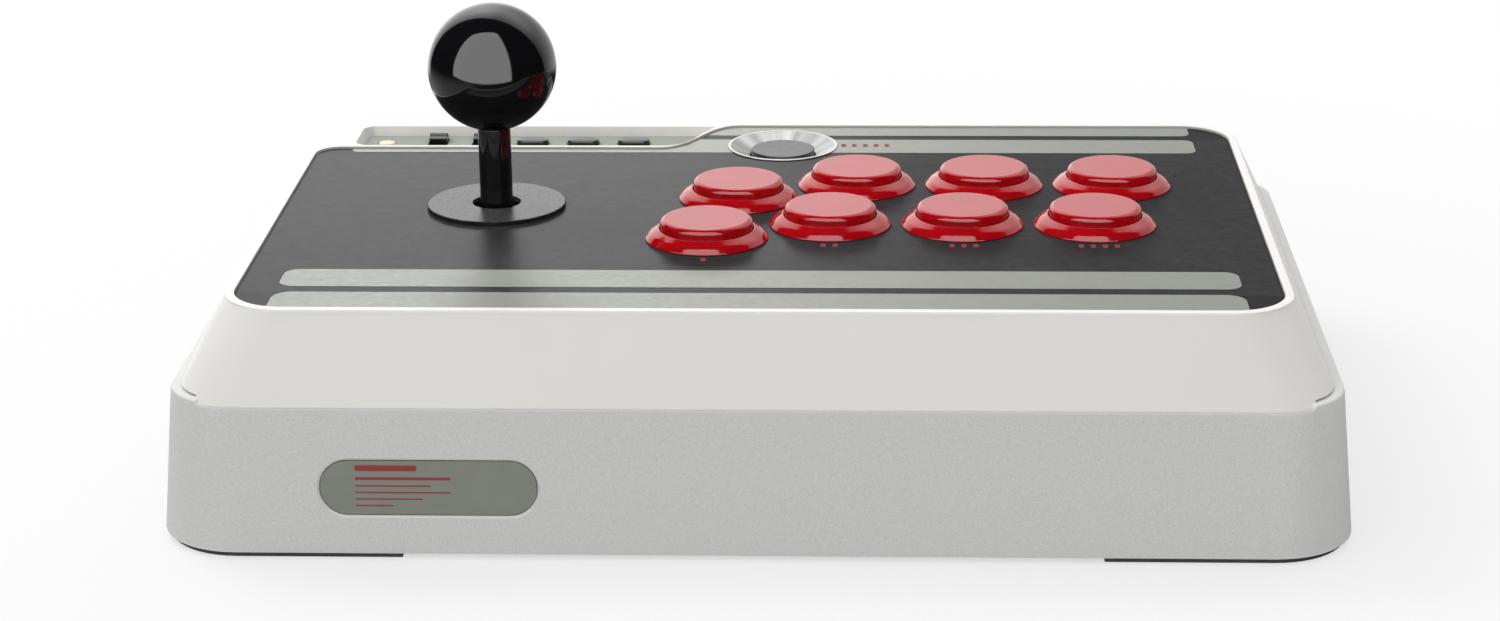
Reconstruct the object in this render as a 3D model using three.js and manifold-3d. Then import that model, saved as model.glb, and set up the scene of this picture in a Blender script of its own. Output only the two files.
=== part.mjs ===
// Arcade joystick panel: a two-part plastic case with a ball-top lever, eight 30 mm push
// buttons, a start button and a recessed row of small controls.
// Millimetres. X runs to the player's right, Y away from the player, Z up.
// The origin is the middle of the footprint, on the table.
import * as THREE from "three";
import { mergeVertices } from "three/addons/utils/BufferGeometryUtils.js";
import Module from "manifold-3d";

const wasm = await Module();
wasm.setup();

// Case
const BASE_WIDTH = 303;
const BASE_DEPTH = 210;
const BASE_CORNER = 21.4;
const DRAFT = 3.6; // each base wall leans in by this much between its foot and the ledge
const FOOT_HEIGHT = 1.4;
const LEDGE_Z = 40.2;
const LEDGE = 2.8; // at the sides; it narrows round the front corners
const REAR_LEDGE = 0.6;
const FRONT_EDGE_Z = 39.2; // the base's top edge, where the upper shell reaches the front face
const FRONT_EDGE_HALF_WIDTH = 138.5;
const WALL = 2.4;
const FLANGE = 9;
const DECK_Z = 56.7;
const RIM_HALF_WIDTH = 137.6;
const RIM_FRONT_Y = -77.1;
const RIM_REAR_Y = 100.6;
const RIM_CORNER = 16.5;
const REST_GAP = 0.1; // between faces that rest on each other
const TURNED_GAP = 0.3; // between faces that rest on each other at a slant

// Control panel
const PANEL_DROP = 0.6;
const PANEL_THICKNESS = 2;
const PANEL_HALF_WIDTH = 135;
const PANEL_FRONT_Y = -74.2;
const PANEL_REAR_Y = 98.2;
const PANEL_CORNER = 14;
const PANEL_STEP_Y = 74; // rear edge of the panel in front of the pocket
const PANEL_STEP_CORNER = 7;
const STEP_CURVE_X = -22; // middle of the S-shaped edge beside the pocket
const STEP_CURVE_REACH = 12;
const PANEL_GAP = 0.2;
const SEAT_WIDTH = 5;
const SEAT_THICKNESS = 2.2;
const PANEL_Z = DECK_Z - PANEL_DROP;
const PANEL_UNDERSIDE_Z = PANEL_Z - PANEL_THICKNESS;
const SEAT_Z = PANEL_UNDERSIDE_Z - REST_GAP;

// Pocket with the small controls
const POCKET_LEFT_X = -125;
const POCKET_FRONT_Y = 75.8;
const POCKET_REAR_Y = 96.8;
const POCKET_CORNER = 4;
const POCKET_BEAD = 2.2; // shell left standing between the pocket and the panel's S-shaped edge
const POCKET_DEPTH = 2.6;
const POCKET_SLOPE = 1.5;
const POCKET_FLOOR_Z = DECK_Z - POCKET_DEPTH;
const FUNCTION_SEAT_INSET = 0.4; // the function panel's seat reaches under the sloping walls
const POCKET_OPENING_INSET = 3.5;
const FUNCTION_PANEL_THICKNESS = 1.2;
const CONTROLS_Y = 87.2;

// Push buttons, on the panel
const COLUMN_PITCH = 36.2;
const ROW_PITCH = 37.7;
const BUTTON_RIM = 16.7;
const BUTTON_RIM_HEIGHT = 3.1;
const BUTTON_RIM_EDGE = 0.4;
const BUTTON_RIM_BEVEL = 1.3;
const BUTTON_BARREL = 14.8;
const BUTTON_HOLE = 15;
const BUTTON_DEPTH = 20;
const BUTTON_FLOOR = 2;
const PLUNGER_RADIUS = 12.6;
const PLUNGER_HEIGHT = 5.7;
const PLUNGER_TRAVEL = 2.2;
const PLUNGER_CLEARANCE = 0.25;
const PLUNGER_SKIRT_Z = -5;
const STEM_RADIUS = 2.4;
const STEM_HOLE = 3;
const PLUNGER_ROUNDING = 1;
const FIRST_BUTTON = new THREE.Vector2(18, -0.3);
const LOW_BUTTON = new THREE.Vector2(-15.3, -13.1);
const REAR_ROW_SHIFT = 7;
const BUTTONS = {
  front_1: LOW_BUTTON,
  front_2: FIRST_BUTTON,
  front_3: FIRST_BUTTON.clone().add(new THREE.Vector2(COLUMN_PITCH, 0)),
  front_4: FIRST_BUTTON.clone().add(new THREE.Vector2(2 * COLUMN_PITCH, 0)),
  rear_1: LOW_BUTTON.clone().add(new THREE.Vector2(REAR_ROW_SHIFT, ROW_PITCH)),
  rear_2: FIRST_BUTTON.clone().add(new THREE.Vector2(REAR_ROW_SHIFT, ROW_PITCH)),
  rear_3: FIRST_BUTTON.clone().add(new THREE.Vector2(REAR_ROW_SHIFT + COLUMN_PITCH, ROW_PITCH)),
  rear_4: FIRST_BUTTON.clone().add(new THREE.Vector2(REAR_ROW_SHIFT + 2 * COLUMN_PITCH, ROW_PITCH)),
};
const MICRO_SWITCH = { length: 12.8, width: 6.5, height: 7 };
const START_BUTTON = new THREE.Vector2(2.7, 77.7);
const START_RIM = 16.2;
const START_RIM_HEIGHT = 0.3;
const START_BARREL = 15.2;
const START_CAP = 9.4;
const START_CAP_Z = -0.7;
const START_STEM = 2;
const START_DEPTH = 12;
const START_TRAVEL = 1.2;
const DISH_LOW_Z = -2.6;

// Lever
const LEVER = new THREE.Vector2(-75.7, 16);
const BALL_RADIUS = 17.8;
const BALL_Z = 96.3;
const SHAFT_RADIUS = 3;
const COVER_RADIUS = 4.55;
const WASHER_RADIUS = 19.3;
const WASHER_HOLE = 6.7;
const WASHER_THICKNESS = 1.1;
const PIVOT_Z = 47.2;
const PIVOT_RADIUS = 7;
const LEVER_HOLE = 12; // in the control panel, under the dust washer
const HOUSING_WIDTH = 62;
const HOUSING_TOP_Z = 52.3;
const HOUSING_BOTTOM_Z = 21.3;
const HOUSING_WALL = 2.2;
const LEVER_ANGLE = THREE.MathUtils.degToRad(7.5);

const materials = {
  ivory: finish(0xe4e2dc, 0.45, 0),
  silver: finish(0xc9c9c6, 0.4, 0.3),
  dark: finish(0x2c2c2d, 0.35, 0),
  greyGreen: finish(0xa5a89c, 0.5, 0),
  red: finish(0xcc0c1c, 0.12, 0),
  black: finish(0x0a0a0b, 0.1, 0),
  blackPlastic: finish(0x18181a, 0.5, 0),
  rubber: finish(0x1b1b1b, 0.9, 0),
  steel: finish(0x9a9c9e, 0.35, 1),
  brushed: finish(0xc4c2bc, 0.3, 1),
  capGrey: finish(0x6b6c6e, 0.4, 0),
  board: finish(0x14502c, 0.55, 0),
  battery: finish(0x8f9296, 0.5, 0),
  lens: finish(0xe9c9a6, 0.2, 0),
};

function finish(color, roughness, metalness) {
  return new THREE.MeshStandardMaterial({ color, roughness, metalness });
}

// ---- Geometry helpers -------------------------------------------------------------------

// A closed geometry as a manifold-3d solid, for joining and cutting.
function solid(geometry) {
  const bare = geometry.clone();
  bare.deleteAttribute("normal");
  bare.deleteAttribute("uv");
  const merged = mergeVertices(bare, 1e-4);
  return new wasm.Manifold(
    new wasm.Mesh({
      numProp: 3,
      vertProperties: merged.attributes.position.array,
      triVerts: new Uint32Array(merged.index.array),
    }),
  );
}

function geometryOf(body) {
  const made = body.getMesh();
  const geometry = new THREE.BufferGeometry();
  geometry.setAttribute("position", new THREE.BufferAttribute(made.vertProperties, 3));
  geometry.setIndex(new THREE.BufferAttribute(made.triVerts, 1));
  geometry.computeVertexNormals();
  return geometry;
}

// The first geometry with the others joined on.
function join(first, ...others) {
  return others.reduce((whole, part) => whole.add(solid(part)), solid(first));
}

// A rounded rectangle between two corners, counter-clockwise.
function roundedRectangle(left, front, right, rear, radius) {
  const shape = new THREE.Shape();
  shape.absarc(right - radius, front + radius, radius, -Math.PI / 2, 0, false);
  shape.absarc(right - radius, rear - radius, radius, 0, Math.PI / 2, false);
  shape.absarc(left + radius, rear - radius, radius, Math.PI / 2, Math.PI, false);
  shape.absarc(left + radius, front + radius, radius, Math.PI, 1.5 * Math.PI, false);
  shape.closePath();
  return shape;
}

// A slot with half-round ends, lying along X.
function stadium(length, width) {
  return roundedRectangle(-length / 2, -width / 2, length / 2, width / 2, width / 2 - 0.001);
}

function prism(shape, lowZ, highZ, curveSegments = 5) {
  const geometry = new THREE.ExtrudeGeometry(shape, {
    depth: highZ - lowZ,
    bevelEnabled: false,
    curveSegments,
  });
  return geometry.translate(0, 0, lowZ);
}

function box(left, front, lowZ, right, rear, highZ) {
  const geometry = new THREE.BoxGeometry(right - left, rear - front, highZ - lowZ);
  return geometry.translate((left + right) / 2, (front + rear) / 2, (lowZ + highZ) / 2);
}

function cylinder(radius, lowZ, highZ, centre = new THREE.Vector2(), segments = 20) {
  const geometry = new THREE.CylinderGeometry(radius, radius, highZ - lowZ, segments);
  geometry.rotateX(Math.PI / 2);
  return geometry.translate(centre.x, centre.y, (lowZ + highZ) / 2);
}

// A solid of revolution about Z from [radius, height] pairs, listed from the bottom outwards.
function turned(profile, segments = 20) {
  const points = profile.map(([radius, height]) => new THREE.Vector2(radius, height));
  return new THREE.LatheGeometry(points, segments).rotateX(Math.PI / 2);
}

// A solid whose outline changes evenly from one shape to another with the same kind of edges.
function loft(lowShape, lowZ, highShape, highZ, divisions = 5) {
  const low = withoutRepeats(lowShape.getPoints(divisions));
  const high = withoutRepeats(highShape.getPoints(divisions));
  const count = low.length;
  const positions = [];
  low.forEach((point) => positions.push(point.x, point.y, lowZ));
  high.forEach((point) => positions.push(point.x, point.y, highZ));
  const index = [];
  for (let i = 0; i < count; i++) {
    const next = (i + 1) % count;
    index.push(i, next, next + count);
    index.push(i, next + count, i + count);
  }
  for (const [a, b, c] of THREE.ShapeUtils.triangulateShape(low, [])) index.push(c, b, a);
  for (const [a, b, c] of THREE.ShapeUtils.triangulateShape(high, [])) {
    index.push(a + count, b + count, c + count);
  }
  const geometry = new THREE.BufferGeometry();
  geometry.setAttribute("position", new THREE.Float32BufferAttribute(positions, 3));
  geometry.setIndex(index);
  return geometry;
}

function withoutRepeats(points) {
  return points.filter((point, i) => {
    const previous = points[(i + points.length - 1) % points.length];
    return point.distanceTo(previous) > 1e-4;
  });
}

function named(name, body, material) {
  const geometry = body.isBufferGeometry ? body : geometryOf(body);
  const mesh = new THREE.Mesh(geometry, material);
  mesh.name = name;
  return mesh;
}

// A group at a place on the deck, with its own Z measured from the panel's top face.
function onPanel(place, ...meshes) {
  const group = new THREE.Group();
  group.position.set(place.x, place.y, PANEL_Z);
  group.add(...meshes);
  return group;
}

// ---- Outlines ---------------------------------------------------------------------------

// The base outline, drawn in by an inset. The corner radius shrinks with it.
function baseOutline(inset) {
  const x = BASE_WIDTH / 2 - inset;
  const y = BASE_DEPTH / 2 - inset;
  return roundedRectangle(-x, -y, x, y, BASE_CORNER - inset);
}

// The upper shell's foot, which leaves a ledge at the sides and is flush at the front.
function footOutline(inset) {
  const x = BASE_WIDTH / 2 - DRAFT - LEDGE - inset;
  const front = -BASE_DEPTH / 2 + DRAFT + inset;
  const rear = BASE_DEPTH / 2 - DRAFT - REAR_LEDGE - inset;
  return roundedRectangle(-x, front, x, rear, BASE_CORNER - DRAFT - LEDGE - inset);
}

function rimOutline() {
  const x = RIM_HALF_WIDTH;
  return roundedRectangle(-x, RIM_FRONT_Y, x, RIM_REAR_Y, RIM_CORNER);
}

// The control panel's outline: its rear left part steps forward, around the pocket.
function panelOutline(inset) {
  const left = -PANEL_HALF_WIDTH + inset;
  const right = PANEL_HALF_WIDTH - inset;
  const front = PANEL_FRONT_Y + inset;
  const rear = PANEL_REAR_Y - inset;
  const step = PANEL_STEP_Y - inset;
  const corner = PANEL_CORNER - inset;
  const small = PANEL_STEP_CORNER - inset;
  const curveX = STEP_CURVE_X + inset;
  const shape = new THREE.Shape();
  shape.absarc(right - corner, front + corner, corner, -Math.PI / 2, 0, false);
  shape.absarc(right - corner, rear - corner, corner, 0, Math.PI / 2, false);
  shape.lineTo(curveX + STEP_CURVE_REACH, rear);
  shape.bezierCurveTo(curveX, rear, curveX, step, curveX - STEP_CURVE_REACH, step);
  shape.absarc(left + small, step - small, small, Math.PI / 2, Math.PI, false);
  shape.absarc(left + corner, front + corner, corner, Math.PI, 1.5 * Math.PI, false);
  shape.closePath();
  return shape;
}

// The pocket's outline, at deck level with no inset. Its right end follows the S-shaped edge.
function pocketOutline(inset) {
  const left = POCKET_LEFT_X + inset;
  const front = POCKET_FRONT_Y + inset;
  const rear = POCKET_REAR_Y - inset;
  const corner = POCKET_CORNER - inset;
  const curveX = STEP_CURVE_X - inset;
  const shape = new THREE.Shape();
  const handleX = curveX - POCKET_BEAD;
  shape.moveTo(left + corner, front);
  shape.lineTo(curveX - STEP_CURVE_REACH, front);
  shape.bezierCurveTo(handleX, front, handleX, (front + rear) / 2, curveX + 2, rear - 4);
  shape.quadraticCurveTo(curveX + 4.5, rear, curveX, rear);
  shape.absarc(left + corner, rear - corner, corner, Math.PI / 2, Math.PI, false);
  shape.absarc(left + corner, front + corner, corner, Math.PI, 1.5 * Math.PI, false);
  shape.closePath();
  return shape;
}

// ---- Case -------------------------------------------------------------------------------

const PLATE_LOW_Z = FOOT_HEIGHT + REST_GAP;
const PLATE_HIGH_Z = 3.9;
const NAMEPLATE = { x: -80.8, z: 18.8, length: 54.4, width: 13.8, thickness: 1, drop: 0.2 };
const WALL_LEAN = Math.atan2(DRAFT, LEDGE_Z - FOOT_HEIGHT);
const POST_X = 129;
const POST_YS = [-71, 71.5];
const POSTS = [-1, 1].flatMap((side) => POST_YS.map((y) => new THREE.Vector2(side * POST_X, y)));
const POST_RADIUS = 4;
const SCREW_SHANK = 1.5;
const SCREW_HOLE = SCREW_SHANK + 0.2;
const SCREW_HEAD = 3;
const SCREW_HEAD_HEIGHT = 1;
const SCREW_SIDES = 10;
const SCREW_LENGTH = 14;
const BEYOND = 60; // a height above every piece, for tools that cut right through

// A group that stands upright on the leaning front wall, with its own Z pointing forward.
function onFrontWall(x, z) {
  const group = new THREE.Group();
  const y = -BASE_DEPTH / 2 + (DRAFT * (z - FOOT_HEIGHT)) / (LEDGE_Z - FOOT_HEIGHT);
  group.position.set(x, y, z);
  group.rotation.x = Math.PI / 2 - WALL_LEAN;
  return group;
}

function baseShell() {
  const outer = loft(baseOutline(0), PLATE_LOW_Z, baseOutline(DRAFT), LEDGE_Z);
  const flangeZ = LEDGE_Z - WALL;
  const cavity = loft(baseOutline(WALL), 0, baseOutline(DRAFT + WALL), flangeZ);
  const opening = prism(baseOutline(DRAFT + FLANGE), flangeZ - 1, BEYOND);
  const recess = onFrontWall(NAMEPLATE.x, NAMEPLATE.z);
  recess.updateMatrix();
  const gap = TURNED_GAP;
  const recessShape = stadium(NAMEPLATE.length + 2 * gap, NAMEPLATE.width + 2 * gap);
  const slot = prism(recessShape, -NAMEPLATE.thickness - gap, WALL, 6);
  const frontY = -BASE_DEPTH / 2;
  const half = FRONT_EDGE_HALF_WIDTH;
  const frontStep = box(-half, frontY, FRONT_EDGE_Z, half, frontY + FLANGE + DRAFT, BEYOND);
  return solid(outer)
    .subtract(solid(cavity))
    .subtract(solid(opening))
    .subtract(solid(frontStep))
    .subtract(solid(slot.applyMatrix4(recess.matrix)));
}

function nameplate() {
  const group = onFrontWall(NAMEPLATE.x, NAMEPLATE.z);
  const outline = stadium(NAMEPLATE.length, NAMEPLATE.width);
  const plate = prism(outline, -NAMEPLATE.thickness, -NAMEPLATE.drop, 6);
  group.add(named("nameplate", plate, materials.greyGreen));
  return group;
}

function bottomPlate() {
  const plate = solid(prism(baseOutline(WALL + 0.5), PLATE_LOW_Z, PLATE_HIGH_Z));
  return POSTS.reduce((rest, post) => {
    const hole = cylinder(SCREW_HOLE, 0, BEYOND, post, SCREW_SIDES);
    const sinkZ = PLATE_LOW_Z + SCREW_HEAD_HEIGHT + 0.2;
    const sink = cylinder(SCREW_HEAD + 0.3, 0, sinkZ, post, SCREW_SIDES);
    return rest.subtract(solid(hole)).subtract(solid(sink));
  }, plate);
}

function caseScrew(post) {
  const headZ = PLATE_LOW_Z + REST_GAP;
  const tipZ = PLATE_HIGH_Z + SCREW_LENGTH;
  const head = cylinder(SCREW_HEAD, headZ, headZ + SCREW_HEAD_HEIGHT, post, SCREW_SIDES);
  const shank = cylinder(SCREW_SHANK, headZ + SCREW_HEAD_HEIGHT / 2, tipZ, post, SCREW_SIDES);
  const driveSlot = box(-0.4, -2, 0, 0.4, 2, headZ + 0.4).translate(post.x, post.y, 0);
  return join(head, shank).subtract(solid(driveSlot));
}

// The lower edge of the front slope, which steps down to meet the base's front face.
function frontLip() {
  const half = FRONT_EDGE_HALF_WIDTH - TURNED_GAP;
  const frontY = -BASE_DEPTH / 2;
  const lip = prism(footOutline(0), FRONT_EDGE_Z + REST_GAP, LEDGE_Z + 2 * REST_GAP);
  return solid(lip).intersect(solid(box(-half, frontY, 0, half, frontY + FLANGE, BEYOND)));
}

function topShell() {
  const lowZ = LEDGE_Z + REST_GAP;
  const undersideZ = SEAT_Z - SEAT_THICKNESS;
  const share = (undersideZ - LEDGE_Z) / (DECK_Z - LEDGE_Z);
  const slopeRun = RIM_FRONT_Y + BASE_DEPTH / 2 - DRAFT;
  const sideX = BASE_WIDTH / 2 - DRAFT - LEDGE;
  const innerX = THREE.MathUtils.lerp(sideX, RIM_HALF_WIDTH, share) - 1.2 * WALL;
  const innerFront = RIM_FRONT_Y - slopeRun * (1 - share) + 1.8 * WALL;
  const innerRear = RIM_REAR_Y - WALL;
  const ceiling = roundedRectangle(-innerX, innerFront, innerX, innerRear, RIM_CORNER - 2 * WALL);
  let shell = solid(loft(footOutline(0), lowZ, rimOutline(), DECK_Z))
    .subtract(solid(loft(footOutline(WALL), lowZ - 1, ceiling, undersideZ)))
    .add(frontLip())
    .subtract(solid(prism(panelOutline(SEAT_WIDTH), undersideZ - 1, DECK_Z)))
    .subtract(solid(prism(panelOutline(-PANEL_GAP), SEAT_Z, BEYOND)));
  const holeEndZ = PLATE_HIGH_Z + SCREW_LENGTH + 2;
  for (const place of POSTS) {
    const post = cylinder(POST_RADIUS, PLATE_HIGH_Z + REST_GAP, SEAT_Z - 0.5, place, SCREW_SIDES);
    const hole = cylinder(SCREW_HOLE, 0, holeEndZ, place, SCREW_SIDES);
    shell = shell.add(solid(post)).subtract(solid(hole));
  }
  return shell
    .subtract(solid(loft(pocketOutline(POCKET_SLOPE), POCKET_FLOOR_Z, pocketOutline(0), DECK_Z)))
    .subtract(solid(prism(pocketOutline(0), DECK_Z - 0.01, BEYOND)))
    .subtract(solid(prism(pocketOutline(FUNCTION_SEAT_INSET), functionSeatZ(), POCKET_FLOOR_Z + 0.01)))
    .subtract(solid(prism(pocketOutline(POCKET_OPENING_INSET), 0, POCKET_FLOOR_Z)))
    .subtract(solid(usbPort()));
}

// ---- Control panel ----------------------------------------------------------------------

function controlPanel() {
  let panel = solid(prism(panelOutline(0), PANEL_UNDERSIDE_Z, PANEL_Z));
  for (const place of Object.values(BUTTONS)) panel = panel.subtract(panelHole(place, BUTTON_HOLE));
  return panel
    .subtract(panelHole(START_BUTTON, START_BARREL + PANEL_GAP))
    .subtract(panelHole(LEVER, LEVER_HOLE));
}

function panelHole(place, radius) {
  return solid(cylinder(radius, PANEL_UNDERSIDE_Z - 1, PANEL_Z + 1, place, 24));
}

// ---- Push buttons -----------------------------------------------------------------------

function buttonBody() {
  const bore = PLUNGER_RADIUS + PLUNGER_CLEARANCE;
  const floorZ = -BUTTON_DEPTH + BUTTON_FLOOR;
  return turned([
    [STEM_HOLE, -BUTTON_DEPTH],
    [BUTTON_BARREL, -BUTTON_DEPTH],
    [BUTTON_BARREL, REST_GAP],
    [BUTTON_RIM, REST_GAP],
    [BUTTON_RIM, BUTTON_RIM_EDGE],
    [BUTTON_RIM - BUTTON_RIM_BEVEL, BUTTON_RIM_EDGE + BUTTON_RIM_BEVEL],
    [bore, BUTTON_RIM_HEIGHT],
    [bore, floorZ],
    [STEM_HOLE, floorZ],
    [STEM_HOLE, -BUTTON_DEPTH],
  ]);
}

function buttonPlunger() {
  const stemEndZ = -BUTTON_DEPTH + PLUNGER_TRAVEL;
  return turned([
    [0, stemEndZ],
    [STEM_RADIUS, stemEndZ],
    [STEM_RADIUS, PLUNGER_SKIRT_Z],
    [PLUNGER_RADIUS, PLUNGER_SKIRT_Z],
    [PLUNGER_RADIUS, PLUNGER_HEIGHT - PLUNGER_ROUNDING],
    [PLUNGER_RADIUS - PLUNGER_ROUNDING, PLUNGER_HEIGHT],
    [0, PLUNGER_HEIGHT],
  ]);
}

// A small snap-action switch with its two terminals, which reach a little into its body.
function microSwitch(topZ) {
  const { length, width, height } = MICRO_SWITCH;
  const lowZ = topZ - height;
  const body = box(-length / 2, -width / 2, lowZ, length / 2, width / 2, topZ);
  const terminals = [-4, 4].map((x) => box(x - 1, -0.4, lowZ - 4, x + 1, 0.4, lowZ + 0.5));
  return join(body, ...terminals);
}

function pushButton(name, place) {
  const switchTopZ = -BUTTON_DEPTH - REST_GAP;
  return onPanel(
    place,
    named(`button_body_${name}`, buttonBody(), materials.red),
    named(`button_plunger_${name}`, buttonPlunger(), materials.red),
    named(`button_switch_${name}`, microSwitch(switchTopZ), materials.blackPlastic),
  );
}

// The start button: a metal dish with a flat cap sunk in its middle.
function startButton() {
  const bore = START_CAP + 0.35;
  const stemHole = START_STEM + 0.5;
  const floorZ = -START_DEPTH + 1.5;
  const stemEndZ = -START_DEPTH + START_TRAVEL;
  const bezel = turned([
    [stemHole, -START_DEPTH],
    [START_BARREL, -START_DEPTH],
    [START_BARREL, REST_GAP],
    [START_RIM, REST_GAP],
    [START_RIM, START_RIM_HEIGHT - 0.2],
    [START_RIM - 0.5, START_RIM_HEIGHT],
    [START_RIM - 1.2, START_RIM_HEIGHT - 0.2],
    [bore, DISH_LOW_Z],
    [bore, floorZ],
    [stemHole, floorZ],
    [stemHole, -START_DEPTH],
  ]);
  const cap = turned([
    [0, stemEndZ],
    [START_STEM, stemEndZ],
    [START_STEM, -6],
    [START_CAP, -6],
    [START_CAP, START_CAP_Z - 0.5],
    [START_CAP - 0.5, START_CAP_Z - 0.1],
    [0, START_CAP_Z],
  ]);
  const contact = box(-3, -3, -START_DEPTH - 3.6, 3, 3, -START_DEPTH - REST_GAP);
  return onPanel(
    START_BUTTON,
    named("start_bezel", bezel, materials.brushed),
    named("start_cap", cap, materials.capGrey),
    named("start_switch", contact, materials.blackPlastic),
  );
}

// ---- Pocket controls --------------------------------------------------------------------

const SLIDE_SWITCHES = { slide_switch_1: -101.5, slide_switch_2: -88.2 };
const SLIDE_SLOT = { width: 5.9, length: 10 };
const SLIDE_KNOB_LENGTH = 5.2;
const FUNCTION_BUTTONS = {
  function_button_1: -72.8,
  function_button_2: -57.6,
  function_button_3: -42.4,
};
const OVAL = { length: 9.6, width: 4.8 };
const OVAL_SHOULDER_Z = POCKET_FLOOR_Z + 0.8;
const OVAL_TOP_Z = POCKET_FLOOR_Z + 1.4;
const OVAL_CHAMFER = 0.5;
const KNOB_SHOULDER_Z = POCKET_FLOOR_Z + 1.7;
const KNOB_TOP_Z = POCKET_FLOOR_Z + 2.5;
const CONTROL_LOW_Z = POCKET_FLOOR_Z - 2; // where the knobs, ovals and lens end below the floor
const INDICATOR = new THREE.Vector2(-117, 87.5);
const INDICATOR_RADIUS = 2.6;

function functionSeatZ() {
  return POCKET_FLOOR_Z - FUNCTION_PANEL_THICKNESS - REST_GAP;
}

function functionPanel() {
  const lowZ = POCKET_FLOOR_Z - FUNCTION_PANEL_THICKNESS;
  const outline = pocketOutline(FUNCTION_SEAT_INSET + 0.2);
  let panel = solid(prism(outline, lowZ, POCKET_FLOOR_Z - REST_GAP));
  const halfWidth = SLIDE_SLOT.width / 2;
  const halfLength = SLIDE_SLOT.length / 2;
  for (const x of Object.values(SLIDE_SWITCHES)) {
    const slot = box(-halfWidth, -halfLength, 0, halfWidth, halfLength, BEYOND);
    panel = panel.subtract(solid(slot.translate(x, CONTROLS_Y, 0)));
  }
  for (const x of Object.values(FUNCTION_BUTTONS)) {
    const hole = prism(stadium(OVAL.length + 0.5, OVAL.width + 0.5), 0, BEYOND, 3);
    panel = panel.subtract(solid(hole.translate(x, CONTROLS_Y, 0)));
  }
  return panel.subtract(solid(cylinder(INDICATOR_RADIUS + 0.2, 0, BEYOND, INDICATOR)));
}

// A knob with a raised ridge across it, at the rear end of its slot.
function slideKnob(x) {
  const halfWidth = SLIDE_SLOT.width / 2 - 0.25;
  const rear = SLIDE_SLOT.length / 2 - 0.2;
  const front = rear - SLIDE_KNOB_LENGTH;
  const middle = (front + rear) / 2;
  const grip = box(-halfWidth, front, CONTROL_LOW_Z, halfWidth, rear, KNOB_SHOULDER_Z);
  const ridge = box(-halfWidth, middle - 0.6, POCKET_FLOOR_Z, halfWidth, middle + 0.6, KNOB_TOP_Z);
  return geometryOf(join(grip, ridge)).translate(x, CONTROLS_Y, 0);
}

function functionButton(x) {
  const outline = stadium(OVAL.length, OVAL.width);
  const top = stadium(OVAL.length - 2 * OVAL_CHAMFER, OVAL.width - 2 * OVAL_CHAMFER);
  const stem = prism(outline, CONTROL_LOW_Z, OVAL_SHOULDER_Z, 3);
  const crown = loft(outline, OVAL_SHOULDER_Z, top, OVAL_TOP_Z, 3);
  return geometryOf(join(stem, crown)).translate(x, CONTROLS_Y, 0);
}

function indicatorLens() {
  return cylinder(INDICATOR_RADIUS, CONTROL_LOW_Z, POCKET_FLOOR_Z + 0.4, INDICATOR, 20);
}

// ---- Electronics ------------------------------------------------------------------------

const BOARD_Z = 44.6;
const BOARD_THICKNESS = 1.6;
const BOARD = { left: -122, front: 62, right: -14, rear: 97.4 };
const CHIP = { left: -80, front: 64, right: -70, rear: 74, height: 1.4 };
const USB = { x: -60, width: 8.9, height: 3.2, depth: 7.5, wall: 0.6 };
const BATTERY = { left: 20, front: -60, right: 74, rear: -26, height: 8, corner: 3 };

// The hole in the rear wall for the socket, with a little room around it.
function usbPort() {
  const halfWidth = USB.width / 2 + 0.4;
  const lowZ = BOARD_Z - 0.9;
  const highZ = BOARD_Z + USB.height + 0.4;
  return box(USB.x - halfWidth, RIM_REAR_Y - 4, lowZ, USB.x + halfWidth, RIM_REAR_Y + 4, highZ);
}

function mainBoard() {
  const lowZ = BOARD_Z - BOARD_THICKNESS;
  const rootZ = BOARD_Z - 0.5; // the parts on the board reach a little into it
  const board = box(BOARD.left, BOARD.front, lowZ, BOARD.right, BOARD.rear, BOARD_Z);
  const contacts = Object.values(FUNCTION_BUTTONS).map((x) =>
    box(-3, -3, rootZ, 3, 3, CONTROL_LOW_Z - 1).translate(x, CONTROLS_Y, 0),
  );
  const slides = Object.values(SLIDE_SWITCHES).map((x) =>
    box(-4, -6, rootZ, 4, 6, CONTROL_LOW_Z - 0.6).translate(x, CONTROLS_Y, 0),
  );
  const chip = box(CHIP.left, CHIP.front, rootZ, CHIP.right, CHIP.rear, BOARD_Z + CHIP.height);
  return join(board, ...contacts, ...slides, chip, usbSocket(rootZ)).subtract(solid(usbMouth()));
}

function usbSocket(lowZ) {
  const rear = RIM_REAR_Y - 1;
  const half = USB.width / 2;
  const highZ = BOARD_Z + USB.height;
  return box(USB.x - half, rear - USB.depth, lowZ, USB.x + half, rear, highZ);
}

// The hollow of the socket, open towards the rear.
function usbMouth() {
  const front = RIM_REAR_Y - 1 - USB.depth + 1.5;
  const half = USB.width / 2 - USB.wall;
  const highZ = BOARD_Z + USB.height - USB.wall;
  return box(USB.x - half, front, BOARD_Z + 0.5, USB.x + half, RIM_REAR_Y, highZ);
}

function batteryPack() {
  const { left, front, right, rear, height, corner } = BATTERY;
  const lowZ = PLATE_HIGH_Z + REST_GAP;
  return prism(roundedRectangle(left, front, right, rear, corner), lowZ, lowZ + height, 3);
}

// ---- Lever ------------------------------------------------------------------------------

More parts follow.
